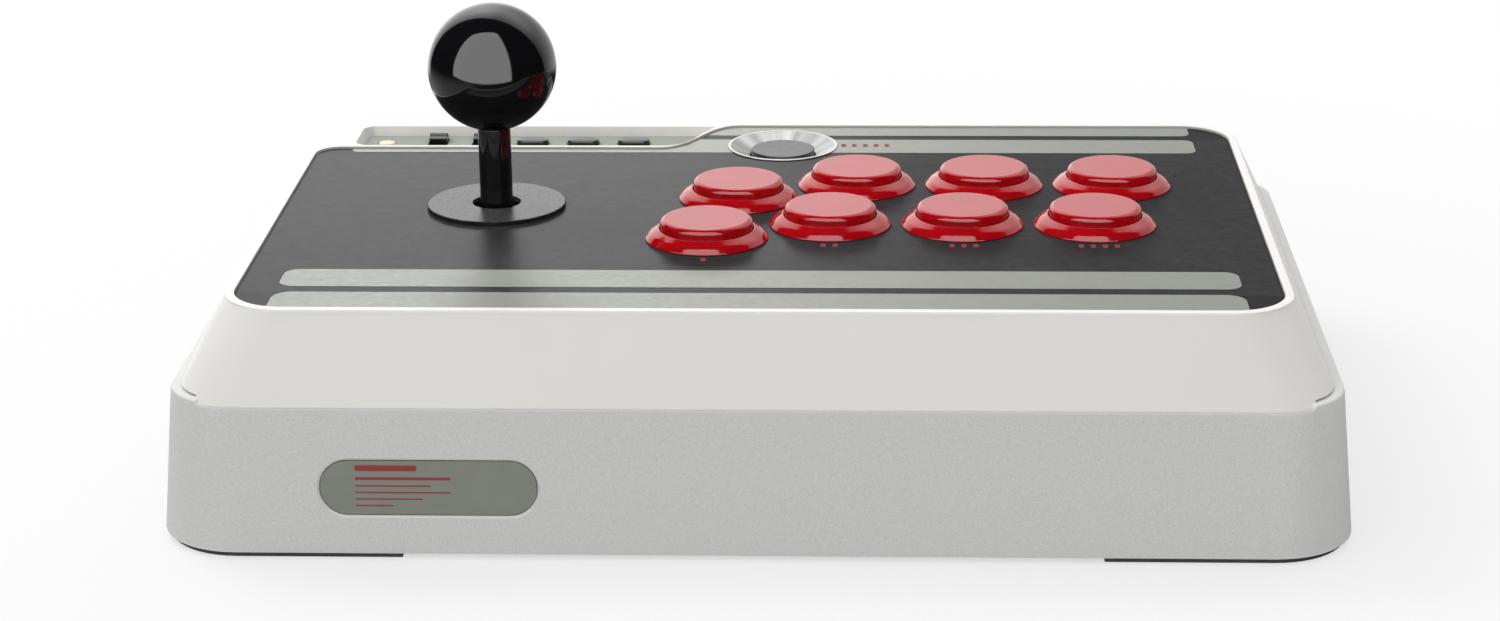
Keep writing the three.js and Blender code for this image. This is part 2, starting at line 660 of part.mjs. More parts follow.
const MOUNTING_PLATE = { length: 92, width: 53, thickness: 1.6, corner: 6, hole: 14 };
const GATE_TOP_Z = HOUSING_BOTTOM_Z - REST_GAP;
const GATE_THICKNESS = 3;
const SHAFT_END_Z = 17.5;
const ACTUATOR_RADIUS = 9;
const ACTUATOR_LOW_Z = 22.2;
const ACTUATOR_HIGH_Z = 28.2;
const SPRING_TOP_Z = 39.4;
const COVER_LOW_Z = 53.6;
const BALL_FLAT_RADIUS = 5;
const BALL_FLAT_Z = BALL_Z - Math.sqrt(BALL_RADIUS ** 2 - BALL_FLAT_RADIUS ** 2);
const SHAFT_TOP_Z = BALL_Z - 3.2;
const SHAFT_BORE = SHAFT_RADIUS + 0.2;
const SWITCH_BOARD_Z = 32;
const SWITCH_BOARD_THICKNESS = 1.6;
const SWITCH_BOARD_HALF = 27;
const SWITCH_POST = 23; // offset of the board's posts from the lever's axis, both ways
const SWITCH_REACH = 13; // from the lever's axis to the face of each direction switch

function leverBall() {
  const boreTopZ = SHAFT_TOP_Z + 0.2;
  const steps = 10;
  const flatAngle = Math.asin(BALL_FLAT_RADIUS / BALL_RADIUS);
  const sphere = Array.from({ length: steps + 1 }, (_, i) => {
    const angle = flatAngle + (i / steps) * (Math.PI - flatAngle);
    return [BALL_RADIUS * Math.sin(angle), BALL_Z - BALL_RADIUS * Math.cos(angle)];
  });
  sphere[steps][0] = 0;
  const bore = [[0, boreTopZ], [SHAFT_BORE, boreTopZ], [SHAFT_BORE, BALL_FLAT_Z]];
  return turned([...bore, ...sphere], 24);
}

function dustWasher() {
  const low = PANEL_Z + REST_GAP;
  return turned([
    [WASHER_HOLE, low],
    [WASHER_RADIUS, low],
    [WASHER_RADIUS, low + WASHER_THICKNESS],
    [WASHER_HOLE, low + WASHER_THICKNESS],
    [WASHER_HOLE, low],
  ], 28);
}

function shaftCover() {
  return turned([
    [SHAFT_BORE, COVER_LOW_Z],
    [COVER_RADIUS, COVER_LOW_Z],
    [COVER_RADIUS, BALL_FLAT_Z - REST_GAP],
    [SHAFT_BORE, BALL_FLAT_Z - REST_GAP],
    [SHAFT_BORE, COVER_LOW_Z],
  ]);
}

function mountingPlate() {
  const { length, width, thickness, corner, hole } = MOUNTING_PLATE;
  const highZ = PANEL_UNDERSIDE_Z - REST_GAP;
  const outline = roundedRectangle(-length / 2, -width / 2, length / 2, width / 2, corner);
  const plate = prism(outline, highZ - thickness, highZ, 3);
  return solid(plate).subtract(solid(cylinder(hole, 0, BEYOND)));
}

// The housing holds the pivot bushing in a round socket and carries the switch board on posts.
function leverHousing() {
  const half = HOUSING_WIDTH / 2;
  const inner = half - HOUSING_WALL;
  const ceilingZ = HOUSING_TOP_Z - 3;
  const bossRadius = PIVOT_RADIUS + 4;
  const throatRadius = PIVOT_RADIUS - 1.7;
  const socket = new THREE.SphereGeometry(PIVOT_RADIUS + TURNED_GAP, 16, 10).translate(0, 0, PIVOT_Z);
  let housing = solid(box(-half, -half, HOUSING_BOTTOM_Z, half, half, HOUSING_TOP_Z))
    .subtract(solid(box(-inner, -inner, HOUSING_BOTTOM_Z - 1, inner, inner, ceilingZ)))
    .add(solid(cylinder(bossRadius, PIVOT_Z - 6, ceilingZ + 1)));
  for (const x of [-SWITCH_POST, SWITCH_POST]) {
    for (const y of [-SWITCH_POST, SWITCH_POST]) {
      const place = new THREE.Vector2(x, y);
      const post = cylinder(2.5, SWITCH_BOARD_Z + REST_GAP, ceilingZ + 1, place, 12);
      housing = housing.add(solid(post));
    }
  }
  const throat = cylinder(throatRadius, PIVOT_Z - PIVOT_RADIUS - 1, BEYOND);
  return housing.subtract(solid(socket)).subtract(solid(throat));
}

// The ball that turns in the housing's socket. Its slot leaves the shaft room to lean sideways.
function pivotBushing() {
  const reach = PIVOT_RADIUS * 0.66;
  const slotLength = 2 * (SHAFT_RADIUS + reach * Math.tan(LEVER_ANGLE) + 0.4);
  const ball = new THREE.SphereGeometry(PIVOT_RADIUS, 16, 10).translate(0, 0, PIVOT_Z);
  const half = 2 * PIVOT_RADIUS;
  const trim = box(-half, -half, PIVOT_Z - reach, half, half, PIVOT_Z + reach);
  const slot = prism(stadium(slotLength, 2 * SHAFT_BORE), 0, BEYOND);
  return solid(ball).intersect(solid(trim)).subtract(solid(slot));
}

function centringSpring() {
  const turns = 5;
  const coilRadius = 5.4;
  const wireRadius = 0.55;
  const low = ACTUATOR_HIGH_Z + wireRadius + 0.2;
  const high = SPRING_TOP_Z - wireRadius;
  class Helix extends THREE.Curve {
    getPoint(t, target = new THREE.Vector3()) {
      const angle = turns * 2 * Math.PI * t;
      return target.set(
        coilRadius * Math.cos(angle),
        coilRadius * Math.sin(angle),
        THREE.MathUtils.lerp(low, high, t),
      );
    }
  }
  const wire = new THREE.Shape().absarc(0, 0, wireRadius, 0, 2 * Math.PI, false);
  const extrudePath = new Helix();
  return new THREE.ExtrudeGeometry(wire, { steps: turns * 10, extrudePath, curveSegments: 2 });
}

function actuator() {
  return turned([
    [SHAFT_BORE, ACTUATOR_LOW_Z],
    [ACTUATOR_RADIUS - 1, ACTUATOR_LOW_Z],
    [ACTUATOR_RADIUS, ACTUATOR_LOW_Z + 2],
    [ACTUATOR_RADIUS, ACTUATOR_HIGH_Z],
    [SHAFT_BORE, ACTUATOR_HIGH_Z],
    [SHAFT_BORE, ACTUATOR_LOW_Z],
  ], 16);
}

// The square gate that the shaft's lower end runs against.
function restrictorGate() {
  const half = HOUSING_WIDTH / 2;
  const lowZ = GATE_TOP_Z - GATE_THICKNESS;
  const reach = SHAFT_RADIUS + (PIVOT_Z - SHAFT_END_Z) * Math.tan(LEVER_ANGLE) + 0.3;
  const plate = prism(roundedRectangle(-half, -half, half, half, 3), lowZ, GATE_TOP_Z, 3);
  return solid(plate).subtract(solid(box(-reach, -reach, 0, reach, reach, BEYOND)));
}

// The square board around the lever, with one switch under it for each of the four directions.
function stickSwitchBoard() {
  const half = SWITCH_BOARD_HALF;
  const lowZ = SWITCH_BOARD_Z - SWITCH_BOARD_THICKNESS;
  const square = solid(box(-half, -half, lowZ, half, half, SWITCH_BOARD_Z));
  const board = square.subtract(solid(cylinder(12, 0, BEYOND)));
  const { length, width } = MICRO_SWITCH;
  const far = SWITCH_REACH + width;
  const switchLowZ = HOUSING_BOTTOM_Z + 0.7;
  return [0, 1, 2, 3].reduce((whole, quarter) => {
    const body = box(SWITCH_REACH, -length / 2, switchLowZ, far, length / 2, lowZ + 1);
    return whole.add(solid(body.rotateZ((quarter * Math.PI) / 2)));
  }, board);
}

function lever() {
  const group = new THREE.Group();
  group.position.set(LEVER.x, LEVER.y, 0);
  group.add(
    named("ball_top", leverBall(), materials.black),
    named("shaft_cover", shaftCover(), materials.black),
    named("stick_shaft", cylinder(SHAFT_RADIUS, SHAFT_END_Z, SHAFT_TOP_Z), materials.steel),
    named("dust_washer", dustWasher(), materials.blackPlastic),
    named("mounting_plate", mountingPlate(), materials.steel),
    named("lever_housing", leverHousing(), materials.blackPlastic),
    named("pivot_bushing", pivotBushing(), materials.ivory),
    named("centring_spring", centringSpring(), materials.steel),
    named("actuator", actuator(), materials.ivory),
    named("restrictor_gate", restrictorGate(), materials.blackPlastic),
    named("stick_switch_board", stickSwitchBoard(), materials.board),
  );
  return group;
}

// ---- Feet -------------------------------------------------------------------------------

const FOOT = { inset: 1.6, length: 62, width: 24 };

// A rubber pad that follows one corner of the base.
function cornerFoot(sideX, sideY) {
  const middleX = sideX * (BASE_WIDTH / 2 - FOOT.inset - FOOT.length / 2);
  const middleY = sideY * (BASE_DEPTH / 2 - FOOT.inset - FOOT.width / 2);
  const pad = new THREE.BoxGeometry(FOOT.length, FOOT.width, FOOT_HEIGHT);
  pad.translate(middleX, middleY, FOOT_HEIGHT / 2);
  return solid(pad).intersect(solid(prism(baseOutline(FOOT.inset), -1, FOOT_HEIGHT + 1)));
}

// ---- Assembly ---------------------------------------------------------------------------

const group = new THREE.Group();
group.add(
  named("base_shell", baseShell(), materials.silver),
  named("bottom_plate", bottomPlate(), materials.blackPlastic),
  named("top_shell", topShell(), materials.ivory),
  named("control_panel", controlPanel(), materials.dark),
  named("function_panel", functionPanel(), materials.greyGreen),
  named("indicator_lens", indicatorLens(), materials.lens),
  named("main_board", mainBoard(), materials.board),
  named("battery_pack", batteryPack(), materials.battery),
  nameplate(),
  startButton(),
  lever(),
);
POSTS.forEach((post, i) => group.add(named(`case_screw_${i + 1}`, caseScrew(post), materials.steel)));
for (const [name, place] of Object.entries(BUTTONS)) group.add(pushButton(name, place));
for (const [name, x] of Object.entries(SLIDE_SWITCHES)) {
  group.add(named(name, slideKnob(x), materials.blackPlastic));
}
for (const [name, x] of Object.entries(FUNCTION_BUTTONS)) {
  group.add(named(name, functionButton(x), materials.blackPlastic));
}
for (const [front, sideY] of [["front", -1], ["rear", 1]]) {
  for (const [side, sideX] of [["left", -1], ["right", 1]]) {
    group.add(named(`foot_${front}_${side}`, cornerFoot(sideX, sideY), materials.rubber));
  }
}

export default group;
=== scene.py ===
import math

import bmesh
import bpy
from mathutils import Matrix, Vector
from mathutils.geometry import tessellate_polygon


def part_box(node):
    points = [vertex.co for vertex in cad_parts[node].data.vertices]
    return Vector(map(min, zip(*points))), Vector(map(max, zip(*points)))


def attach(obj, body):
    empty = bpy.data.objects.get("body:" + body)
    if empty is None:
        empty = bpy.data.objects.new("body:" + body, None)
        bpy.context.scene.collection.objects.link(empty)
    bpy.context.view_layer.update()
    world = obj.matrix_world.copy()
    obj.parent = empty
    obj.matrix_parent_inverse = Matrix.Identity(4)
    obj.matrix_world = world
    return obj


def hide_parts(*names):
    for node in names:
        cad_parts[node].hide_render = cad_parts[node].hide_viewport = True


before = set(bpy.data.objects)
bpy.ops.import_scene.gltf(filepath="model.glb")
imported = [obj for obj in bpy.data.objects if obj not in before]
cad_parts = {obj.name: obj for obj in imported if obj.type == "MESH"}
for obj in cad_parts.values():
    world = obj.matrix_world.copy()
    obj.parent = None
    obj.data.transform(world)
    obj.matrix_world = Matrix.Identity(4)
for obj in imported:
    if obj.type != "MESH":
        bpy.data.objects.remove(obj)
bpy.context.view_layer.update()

MM = 0.001

# Case, drawn from the frame's boxes and these values
DRAFT = 3.6
BASE_CORNER = 21.4
FOOT_CORNER = 15.0
RIM_CORNER = 16.5
WALL = 2.4
FLANGE = 9.0
STEP_HEIGHT = 1.0  # how much lower the front edge lies than the ledge
STEP_X = 138.8  # the front edge lies lower between -STEP_X and STEP_X
STEP_SPREAD = 2.0  # degrees of the front corners over which it steps down
LIP = 0.7  # rounding of the base's top edge
LOW_GUARD, HIGH_GUARD = 0.06, 0.93  # rings that keep the rubbed look near the wall's two edges
SHELL_GAP = 0.5  # between the ledge and the top shell; at the front it is FRONT_GAP
FRONT_GAP = 0.02
FRONT_SPLITS = (-116.0, -44.0)  # the part of the front wall round the nameplate
REAR_SPLITS = (-50.0, -70.0)  # the part of the rear wall round the socket
PLATE_DEPTH = 0.5  # how far the nameplate's face lies behind the wall's
BEAD_HEIGHT = 0.55
SEAT_WIDTH = 5.0
SHELL_UNDERSIDE_Z = 51.8
UNDERSIDE_SHARE = 0.7  # how far from the shell's foot to its rim the underside lies

# Lever and main board
BALL_RADIUS = 17.8
SHAFT_BORE = 3.2
BOARD_THICKNESS = 1.6

# Control panel and pocket
PANEL_CORNER = 14.0
PANEL_STEP_Y = 74.0
PANEL_STEP_CORNER = 7.0
CURVE_X = -22.0  # the middle of the S-shaped edge between the panel and the pocket
CURVE_REACH = 12.0
POCKET = {"left": -125.0, "front": 75.8, "rear": 96.8, "corner": 4.0, "slope": 1.5}
POCKET_BEAD = 2.2
SOCKET = {"x": -60.0, "low": 43.7, "high": 48.2, "half_width": 4.9, "corner": 1.2}

# Print on the panel: four bands between -BAND_END and BAND_END, and rows of short strokes
PRINT_HEIGHT = 0.06
PRINT_INSET = 0.35  # bare panel between the print and the panel's edge
BAND_END = 125.0
FRONT_BAND = (-56.2, -41.9)
NARROW_BAND = (70.3, 84.4)
NEAR_BAND_REAR = -60.7
REAR_BAND_FRONT = 88.8
MARK_HEIGHT = 2.8
MARK_WIDTH = 1.4
MARK_PITCH = 3.2

# Radii of the round holes in the panels, the oval buttons' holes, and a clearance
BUTTON_HOLE = 15.0
START_HOLE = 15.4
LEVER_HOLE = 12.0
LAMP_HOLE = 2.8
FUNCTION_HOLE = (10.1, 5.3)
DECK_CLEARANCE = 0.1  # between the panel and the rims that lie on it

ROWS = ("front", "rear")
COLUMNS = (1, 2, 3, 4)
CORNER_STEPS = 12
SEGMENTS = 72
FINE_SEGMENTS = 96


# ---- Places read from the frame ----


def box_mm(node):
    low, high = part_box(node)
    return low / MM, high / MM


def middle(node):
    low, high = box_mm(node)
    return (low + high) / 2


def round_part(node):
    """The middle, radius, bottom and top of a round node."""
    low, high = box_mm(node)
    return (low + high) / 2, (high.x - low.x) / 2, low.z, high.z


BASE_LOW, BASE_HIGH = box_mm("base_shell")
SHELL_LOW, SHELL_HIGH = box_mm("top_shell")
PANEL_LOW, PANEL_HIGH = box_mm("control_panel")
LEDGE_Z = BASE_HIGH.z
DECK_Z = SHELL_HIGH.z
PANEL_Z = PANEL_HIGH.z
FUNCTION_Z = box_mm("function_panel")[1].z
LEVER = middle("dust_washer")
START = middle("start_bezel")


# ---- Drawing ----


def arc(x, y, radius, start, end, steps=CORNER_STEPS):
    """Points round part of a circle, angles in degrees."""
    angles = [math.radians(start + (end - start) * i / steps) for i in range(steps + 1)]
    return [(x + radius * math.cos(a), y + radius * math.sin(a)) for a in angles]


def bezier(*corners, steps=16):
    """Points along a cubic curve, without its first point."""
    points = []
    for i in range(1, steps + 1):
        t = i / steps
        weights = ((1 - t) ** 3, 3 * (1 - t) ** 2 * t, 3 * (1 - t) * t * t, t ** 3)
        points.append([sum(w * p[axis] for w, p in zip(weights, corners)) for axis in (0, 1)])
    return points


def circle(x, y, radius, steps=SEGMENTS):
    return arc(x, y, radius, 0, 360, steps)[:-1]


def corner_centres(left, front, right, rear, radius):
    """The middles of a rounded rectangle's corners: rear right, rear left, front left, front right."""
    low_x, high_x, low_y, high_y = left + radius, right - radius, front + radius, rear - radius
    return (high_x, high_y), (low_x, high_y), (low_x, low_y), (high_x, low_y)


def rounded_rectangle(left, front, right, rear, radius, steps=CORNER_STEPS):
    points = []
    for quarter, (x, y) in enumerate(corner_centres(left, front, right, rear, radius)):
        points += arc(x, y, radius, quarter * 90, quarter * 90 + 90, steps)
    return points


def stadium(length, width, x=0.0, y=0.0, inset=0.0):
    """A slot along X with half-round ends."""
    half, radius = length / 2 - inset, width / 2 - inset
    return rounded_rectangle(x - half, y - radius, x + half, y + radius, radius - 0.01)


def softened(path, steps=4, closed=False):
    """A path with its corners eased. Each entry is a point and, last, its reach: the curve round
    that corner starts that far from it, and a reach of 0 keeps the corner sharp."""
    count = len(path)
    corners = [Vector(entry[:-1]) for entry in path]
    result = []
    for i, corner in enumerate(corners):
        reach = path[i][-1]
        if reach == 0 or (not closed and i in (0, count - 1)):
            result.append(corner)
            continue
        before = corners[i - 1] - corner
        after = corners[(i + 1) % count] - corner
        start = corner + before.normalized() * reach
        end = corner + after.normalized() * reach
        for step in range(steps + 1):
            t = step / steps
            result.append(start * (1 - t) ** 2 + corner * (2 * t * (1 - t)) + end * t * t)
    return result


class Skin:
    """A mesh drawn ring by ring."""

    def __init__(self):
        self.points = []
        self.faces = []

    def ring(self, points):
        start = len(self.points)
        self.points.extend(Vector(point) for point in points)
        return list(range(start, len(self.points)))

    def flat_ring(self, outline, z):
        return self.ring((x, y, z) for x, y in outline)

    def bridge(self, low, high, skip=None):
        """Joins two rings, leaving out the face that starts at corner number skip."""
        count = len(low)
        for i in range(count):
            if i == skip:
                continue
            j = (i + 1) % count
            self.faces.append((low[i], low[j], high[j], high[i]))

    def chain(self, rings, closed=False):
        for low, high in zip(rings, rings[1:]):
            self.bridge(low, high)
        if closed:
            self.bridge(rings[-1], rings[0])
        return rings

    def wall(self, outline_at, path):
        """Rings that follow a path of (inset, z) points."""
        return self.chain([self.flat_ring(outline_at(inset), z) for inset, z in path])

    def plate(self, outer, *holes):
        """Fills the flat face between a ring and the holes in it."""
        loops = [outer, *holes]
        index = [i for loop in loops for i in loop]
        drawn = [[self.points[i] for i in loop] for loop in loops]
        for triangle in tessellate_polygon(drawn):
            self.faces.append(tuple(index[i] for i in triangle))

    def pierced(self, low_edge, high_edge, holes, low_z, high_z):
        """Closes the two faces of a board, round the holes through it."""
        low_rings = [self.flat_ring(hole, low_z) for hole in holes]
        high_rings = [self.flat_ring(hole, high_z) for hole in holes]
        for pair in zip(low_rings, high_rings):
            self.bridge(*pair)
        self.plate(low_edge, *low_rings)
        self.plate(high_edge, *high_rings)

    def turn(self, low, high):
        """Joins two rings of a lathed skin, of which one may be a single point."""
        count = max(len(low), len(high))
        for i in range(count if len(low) + len(high) > 2 else 0):
            j = (i + 1) % count
            corners = [low[i % len(low)], low[j % len(low)], high[j % len(high)], high[i % len(high)]]
            self.faces.append(tuple(dict.fromkeys(corners)))


def added(name, data):
    """A new object in the scene."""
    item = bpy.data.objects.new(name, data)
    bpy.context.scene.collection.objects.link(item)
    return item


def mesh_of(name, skin):
    """A skin as a mesh in metres, with its faces turned outward."""
    mesh = bpy.data.meshes.new(name)
    mesh.from_pydata([point * MM for point in skin.points], [], skin.faces)
    tool = bmesh.new()
    tool.from_mesh(mesh)
    bmesh.ops.remove_doubles(tool, verts=tool.verts, dist=1e-7)
    bmesh.ops.recalc_face_normals(tool, faces=tool.faces)
    tool.to_mesh(mesh)
    tool.free()
    return mesh


def piece(name, skin, finish, node=None, body="case", matrix=None, sharp=35):
    """Makes a drawn skin an object that rides a body and stands for a CAD node."""
    mesh = mesh_of(name, skin)
    mesh.polygons.foreach_set("use_smooth", [True] * len(mesh.polygons))
    mesh.set_sharp_from_angle(angle=math.radians(sharp))
    mesh.materials.append(finish.material)
    item = added(name, mesh)
    if matrix is not None:
        item.matrix_world = matrix
    normals = item.modifiers.new("even_normals", "WEIGHTED_NORMAL")
    normals.keep_sharp = True
    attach(item, body)
    if node:
        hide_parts(node)
    return item


def lathed(profile, x=0.0, y=0.0, closed=False, segments=SEGMENTS):
    """A skin of (radius, height) points turned about an upright line. A radius of 0 is a pole."""
    skin = Skin()
    rings = []
    for radius, z in profile:
        points = [(x, y)] if radius < 1e-6 else circle(x, y, radius, segments)
        rings.append(skin.flat_ring(points, z))
    pairs = list(zip(rings, rings[1:]))
    if closed:
        pairs.append((rings[-1], rings[0]))
    for low, high in pairs:
        skin.turn(low, high)
    return skin


def slab(outline_at, path):
    """A closed skin whose rings follow a path of (inset, z) points, capped at both ends."""
    skin = Skin()
    rings = skin.wall(outline_at, path)
    skin.plate(rings[0])
    skin.plate(rings[-1])
    return skin


def block(outline, low, high):
    """A closed skin with upright sides."""
    return slab(lambda inset: outline, [(0, low), (0, high)])


# ---- Materials ----


class Nodes:
    """Short calls that the finishes and the studio's surroundings share."""

    def __init__(self, tree):
        self.tree = tree

    def link(self, source, target):
        self.tree.links.new(source, target)

    def feed(self, socket, value):
        """Links a socket to another node's output, or sets it to a plain value."""
        if isinstance(value, bpy.types.NodeSocket):
            self.link(value, socket)
        else:
            socket.default_value = value

    def node(self, kind, **inputs):
        made = self.tree.nodes.new(kind)
        for name, value in inputs.items():
            self.feed(made.inputs[name.replace("_", " ")], value)
        return made

    def maths(self, operation, first, second=0.0):
        made = self.node("ShaderNodeMath")
        made.operation = operation
        self.feed(made.inputs[0], first)
        self.feed(made.inputs[1], second)
        return made.outputs[0]

    def plus(self, first, second):
        return self.maths("ADD", first, second)

    def times(self, first, second):
        return self.maths("MULTIPLY", first, second)

    def length(self, vector):
        made = self.node("ShaderNodeVectorMath", Vector=vector)
        made.operation = "LENGTH"
        return made.outputs["Value"]

    def parts(self, vector):
        return self.node("ShaderNodeSeparateXYZ", Vector=vector).outputs

    def spread(self, value, low=0, high=1, start=0.3, end=0.7, smooth=False):
        """Goes from low to high while the value goes from start to end."""
        made = self.node("ShaderNodeMapRange", Value=value, From_Min=start, From_Max=end)
        self.feed(made.inputs["To Min"], low)
        self.feed(made.inputs["To Max"], high)
        if smooth:
            made.interpolation_type = "SMOOTHSTEP"
        return made.outputs["Result"]


class Finish(Nodes):
    """A node material, painted by patterns that follow the object's own axes."""

    def __init__(self, name, colour, roughness, metallic=0.0, specular=0.5):
        self.material = bpy.data.materials.new(name)
        self.material.use_nodes = True
        super().__init__(self.material.node_tree)
        self.shader = self.tree.nodes["Principled BSDF"]
        self.colour = colour
        self.set("Base Color", (*colour, 1))
        self.set("Roughness", roughness)
        self.set("Metallic", metallic)
        self.set("Specular IOR Level", specular)
        self.place = self.node("ShaderNodeTexCoord").outputs["Object"]

    def set(self, name, value):
        """Gives the surface a plain value, or a pattern from another node."""
        self.feed(self.shader.inputs[name], value)

    def noise(self, size_mm, detail=2.0, roughness=0.5):
        """Cloudy noise with features of about the given size."""
        made = self.node("ShaderNodeTexNoise", Vector=self.place, Scale=1 / (size_mm * MM))
        self.feed(made.inputs["Detail"], detail)
        self.feed(made.inputs["Roughness"], roughness)
        return made.outputs["Fac"]

    def mix(self, share, first, second):
        made = self.node("ShaderNodeMix")
        made.data_type = "RGBA"
        sockets = {socket.identifier: socket for socket in made.inputs}
        self.feed(sockets["Factor_Float"], share)
        for name, colour in (("A_Color", first), ("B_Color", second)):
            self.feed(sockets[name], (*colour, 1) if isinstance(colour, tuple) else colour)
        return next(s for s in made.outputs if s.identifier == "Result_Color")

    def tint(self, share, lift=0.0):
        return tuple(min(1.0, channel * share + lift) for channel in self.colour)

    def vary_colour(self, share, size_mm):
        """Uneven colour: a little darker and lighter in patches."""
        patches = self.spread(self.noise(size_mm, 4))
        self.paint(self.mix(patches, self.tint(1 - share), self.tint(1 + share)))

    def paint(self, colour):
        self.painted = colour
        self.set("Base Color", colour)

    def vary_roughness(self, low, high, size_mm):
        self.set("Roughness", self.spread(self.noise(size_mm, 5, 0.6), low, high))

    def grain(self, size_mm, depth_mm, detail=2.0):
        """Fine relief over the whole surface."""
        self.relief(self.noise(size_mm, detail), depth_mm)

    def relief(self, height, depth_mm):
        bump = self.node("ShaderNodeBump", Height=height, Strength=1.0, Distance=depth_mm * MM)
        self.set("Normal", bump.outputs["Normal"])

    def upward(self, start, end):
        """0 where the surface faces sideways, 1 where it faces up."""
        normal = self.node("ShaderNodeNewGeometry").outputs["Normal"]
        return self.spread(self.parts(normal)["Z"], 0, 1, start, end)

    def wear(self, colour, amount):
        """Edges rubbed towards another colour."""
        edge = self.node("ShaderNodeNewGeometry").outputs["Pointiness"]
        share = self.spread(edge, 0, amount, 0.51, 0.58)
        worn = self.times(share, self.spread(self.noise(3.0, 4), 0.3, 1.0))
        self.paint(self.mix(worn, self.painted, colour))


def shell_plastic():
    finish = Finish("ivory_shell_plastic", (0.775, 0.76, 0.728), 0.42)
    finish.vary_colour(0.012, 60)
    # Painted light: faces that look up are painted lighter, as if lit more from above.
    finish.paint(finish.mix(finish.upward(0.88, 0.99), finish.painted, finish.tint(1.2)))
    finish.wear((0.93, 0.92, 0.89), 0.9)
    finish.vary_roughness(0.38, 0.48, 9)
    finish.grain(0.35, 0.006)
    return finish


def silver_plastic():
    """Silver-grey plastic with fine metal flakes, and painted light: paler where it faces up, as if lit
    from above.
    """
    finish = Finish("silver_flake_plastic", (0.60, 0.60, 0.595), 0.45, specular=0.2)
    flakes = finish.spread(finish.noise(0.4, 3, 0.7), 0, 1, 0.35, 0.65)
    clouds = finish.spread(finish.noise(6.0, 3, 0.65))
    fine = finish.mix(flakes, finish.tint(0.9), finish.tint(1.09))
    flecked = finish.mix(finish.times(clouds, 0.12), fine, finish.tint(0.97))
    # Painted light: faces that look up, such as the top lip and the recess's lower bevel, are painted
    # paler.
    finish.paint(finish.mix(finish.upward(0.25, 0.7), flecked, finish.tint(1.25)))
    finish.wear((0.86, 0.86, 0.85), 0.7)
    finish.vary_roughness(0.4, 0.5, 1.2)
    finish.grain(0.4, 0.006, detail=3)
    return finish


def panel_plastic():
    finish = Finish("charcoal_panel_plastic", (0.026, 0.026, 0.027), 0.37, specular=0.0055)
    finish.vary_colour(0.03, 4)
    finish.wear((0.06, 0.06, 0.06), 0.5)
    finish.vary_roughness(0.365, 0.375, 6)
    finish.grain(0.3, 0.0003)
    return finish


def print_ink(name, colour):
    """A thin layer of printed ink."""
    finish = Finish(name, colour, 0.5, specular=0.08)
    finish.vary_colour(0.03, 6)
    finish.wear(finish.tint(1.1), 0.4)
    finish.vary_roughness(0.45, 0.56, 2)
    finish.grain(0.25, 0.003)
    return finish


def gloss_plastic(name, colour, roughness):
    """Polished moulded plastic with the faint haze and ripple of handling."""
    finish = Finish(name, colour, roughness)
    finish.vary_colour(0.05, 7)
    finish.wear(finish.tint(1.3, 0.01), 0.5)
    finish.vary_roughness(roughness * 0.7, roughness * 1.5, 3)
    finish.grain(5.0, 0.012, detail=1)
    return finish


def matt_plastic(name, colour, roughness=0.55, grain_mm=0.4, depth_mm=0.012):
    finish = Finish(name, colour, roughness, specular=0.4)
    finish.vary_colour(0.08, 5)
    finish.wear(finish.tint(1.5, 0.02), 0.6)
    finish.vary_roughness(roughness - 0.07, roughness + 0.08, 2.5)
    finish.grain(grain_mm, depth_mm)
    return finish


def washer_plastic():
    """Black plastic, glossy round its side and sandy on top."""
    finish = Finish("sanded_washer_plastic", (0.052, 0.052, 0.054), 0.4, specular=0.009)
    speck = finish.spread(finish.noise(0.5, 3, 0.8), 0, 1, 0.35, 0.7)
    sandy = finish.mix(speck, finish.tint(0.4), finish.tint(2.0))
    top = finish.upward(0.5, 0.9)
    finish.paint(finish.mix(top, (0.01, 0.01, 0.01), sandy))
    finish.wear((0.3, 0.3, 0.3), 0.8)
    finish.set("Roughness", finish.spread(top, 0.12, 0.3, 0, 1))
    finish.grain(0.5, 0.03, detail=3)
    return finish


def cap_plastic():
    """Grey plastic, with painted shade that makes it far darker down its side."""
    finish = Finish("start_cap_plastic", (0.11, 0.112, 0.115), 0.38, specular=0.4)
    finish.vary_colour(0.06, 4)
    # Painted shade: the cap's side is painted near black, as if in shadow.
    finish.paint(finish.mix(finish.upward(0.5, 0.9), (0.01, 0.01, 0.01), finish.painted))
    finish.wear((0.2, 0.2, 0.2), 0.4)
    finish.vary_roughness(0.34, 0.44, 2.5)
    finish.grain(0.3, 0.005)
    return finish


def turned_metal():
    """Bright metal, drawn round the piece's own Z axis: the rings of turning as relief, and streaks
    fanning out across them painted into its colour as highlights.
    """
    finish = Finish("turned_dish_metal", (0.42, 0.42, 0.41), 0.45, metallic=1.0)
    parts = finish.parts(finish.place)
    level = finish.node("ShaderNodeCombineXYZ", X=parts["X"], Y=parts["Y"]).outputs["Vector"]
    around = finish.node("ShaderNodeVectorMath", Vector=level)
    around.operation = "NORMALIZE"
    streaks = finish.node("ShaderNodeTexNoise", Vector=around.outputs[0], Scale=3.0, Detail=3.0)
    painted_highlight_streaks = finish.spread(streaks.outputs["Fac"])
    # Painted highlights: streaks that fan out round the axis lighten and darken the metal's colour.
    finish.paint(finish.mix(painted_highlight_streaks, finish.tint(0.5), finish.tint(1.3)))
    finish.set("Roughness", finish.spread(painted_highlight_streaks, 0.34, 0.46, 0, 1))
    radians_per_metre = 16000
    rings = finish.maths("SINE", finish.times(finish.length(level), radians_per_metre))
    finish.relief(rings, 0.0015)
    return finish


def steel():
    finish = Finish("zinc_plated_steel", (0.56, 0.57, 0.58), 0.34, metallic=1.0)
    finish.vary_colour(0.12, 4)
    finish.wear((0.75, 0.75, 0.74), 0.5)
    finish.vary_roughness(0.26, 0.42, 2)
    finish.grain(0.8, 0.004)
    return finish


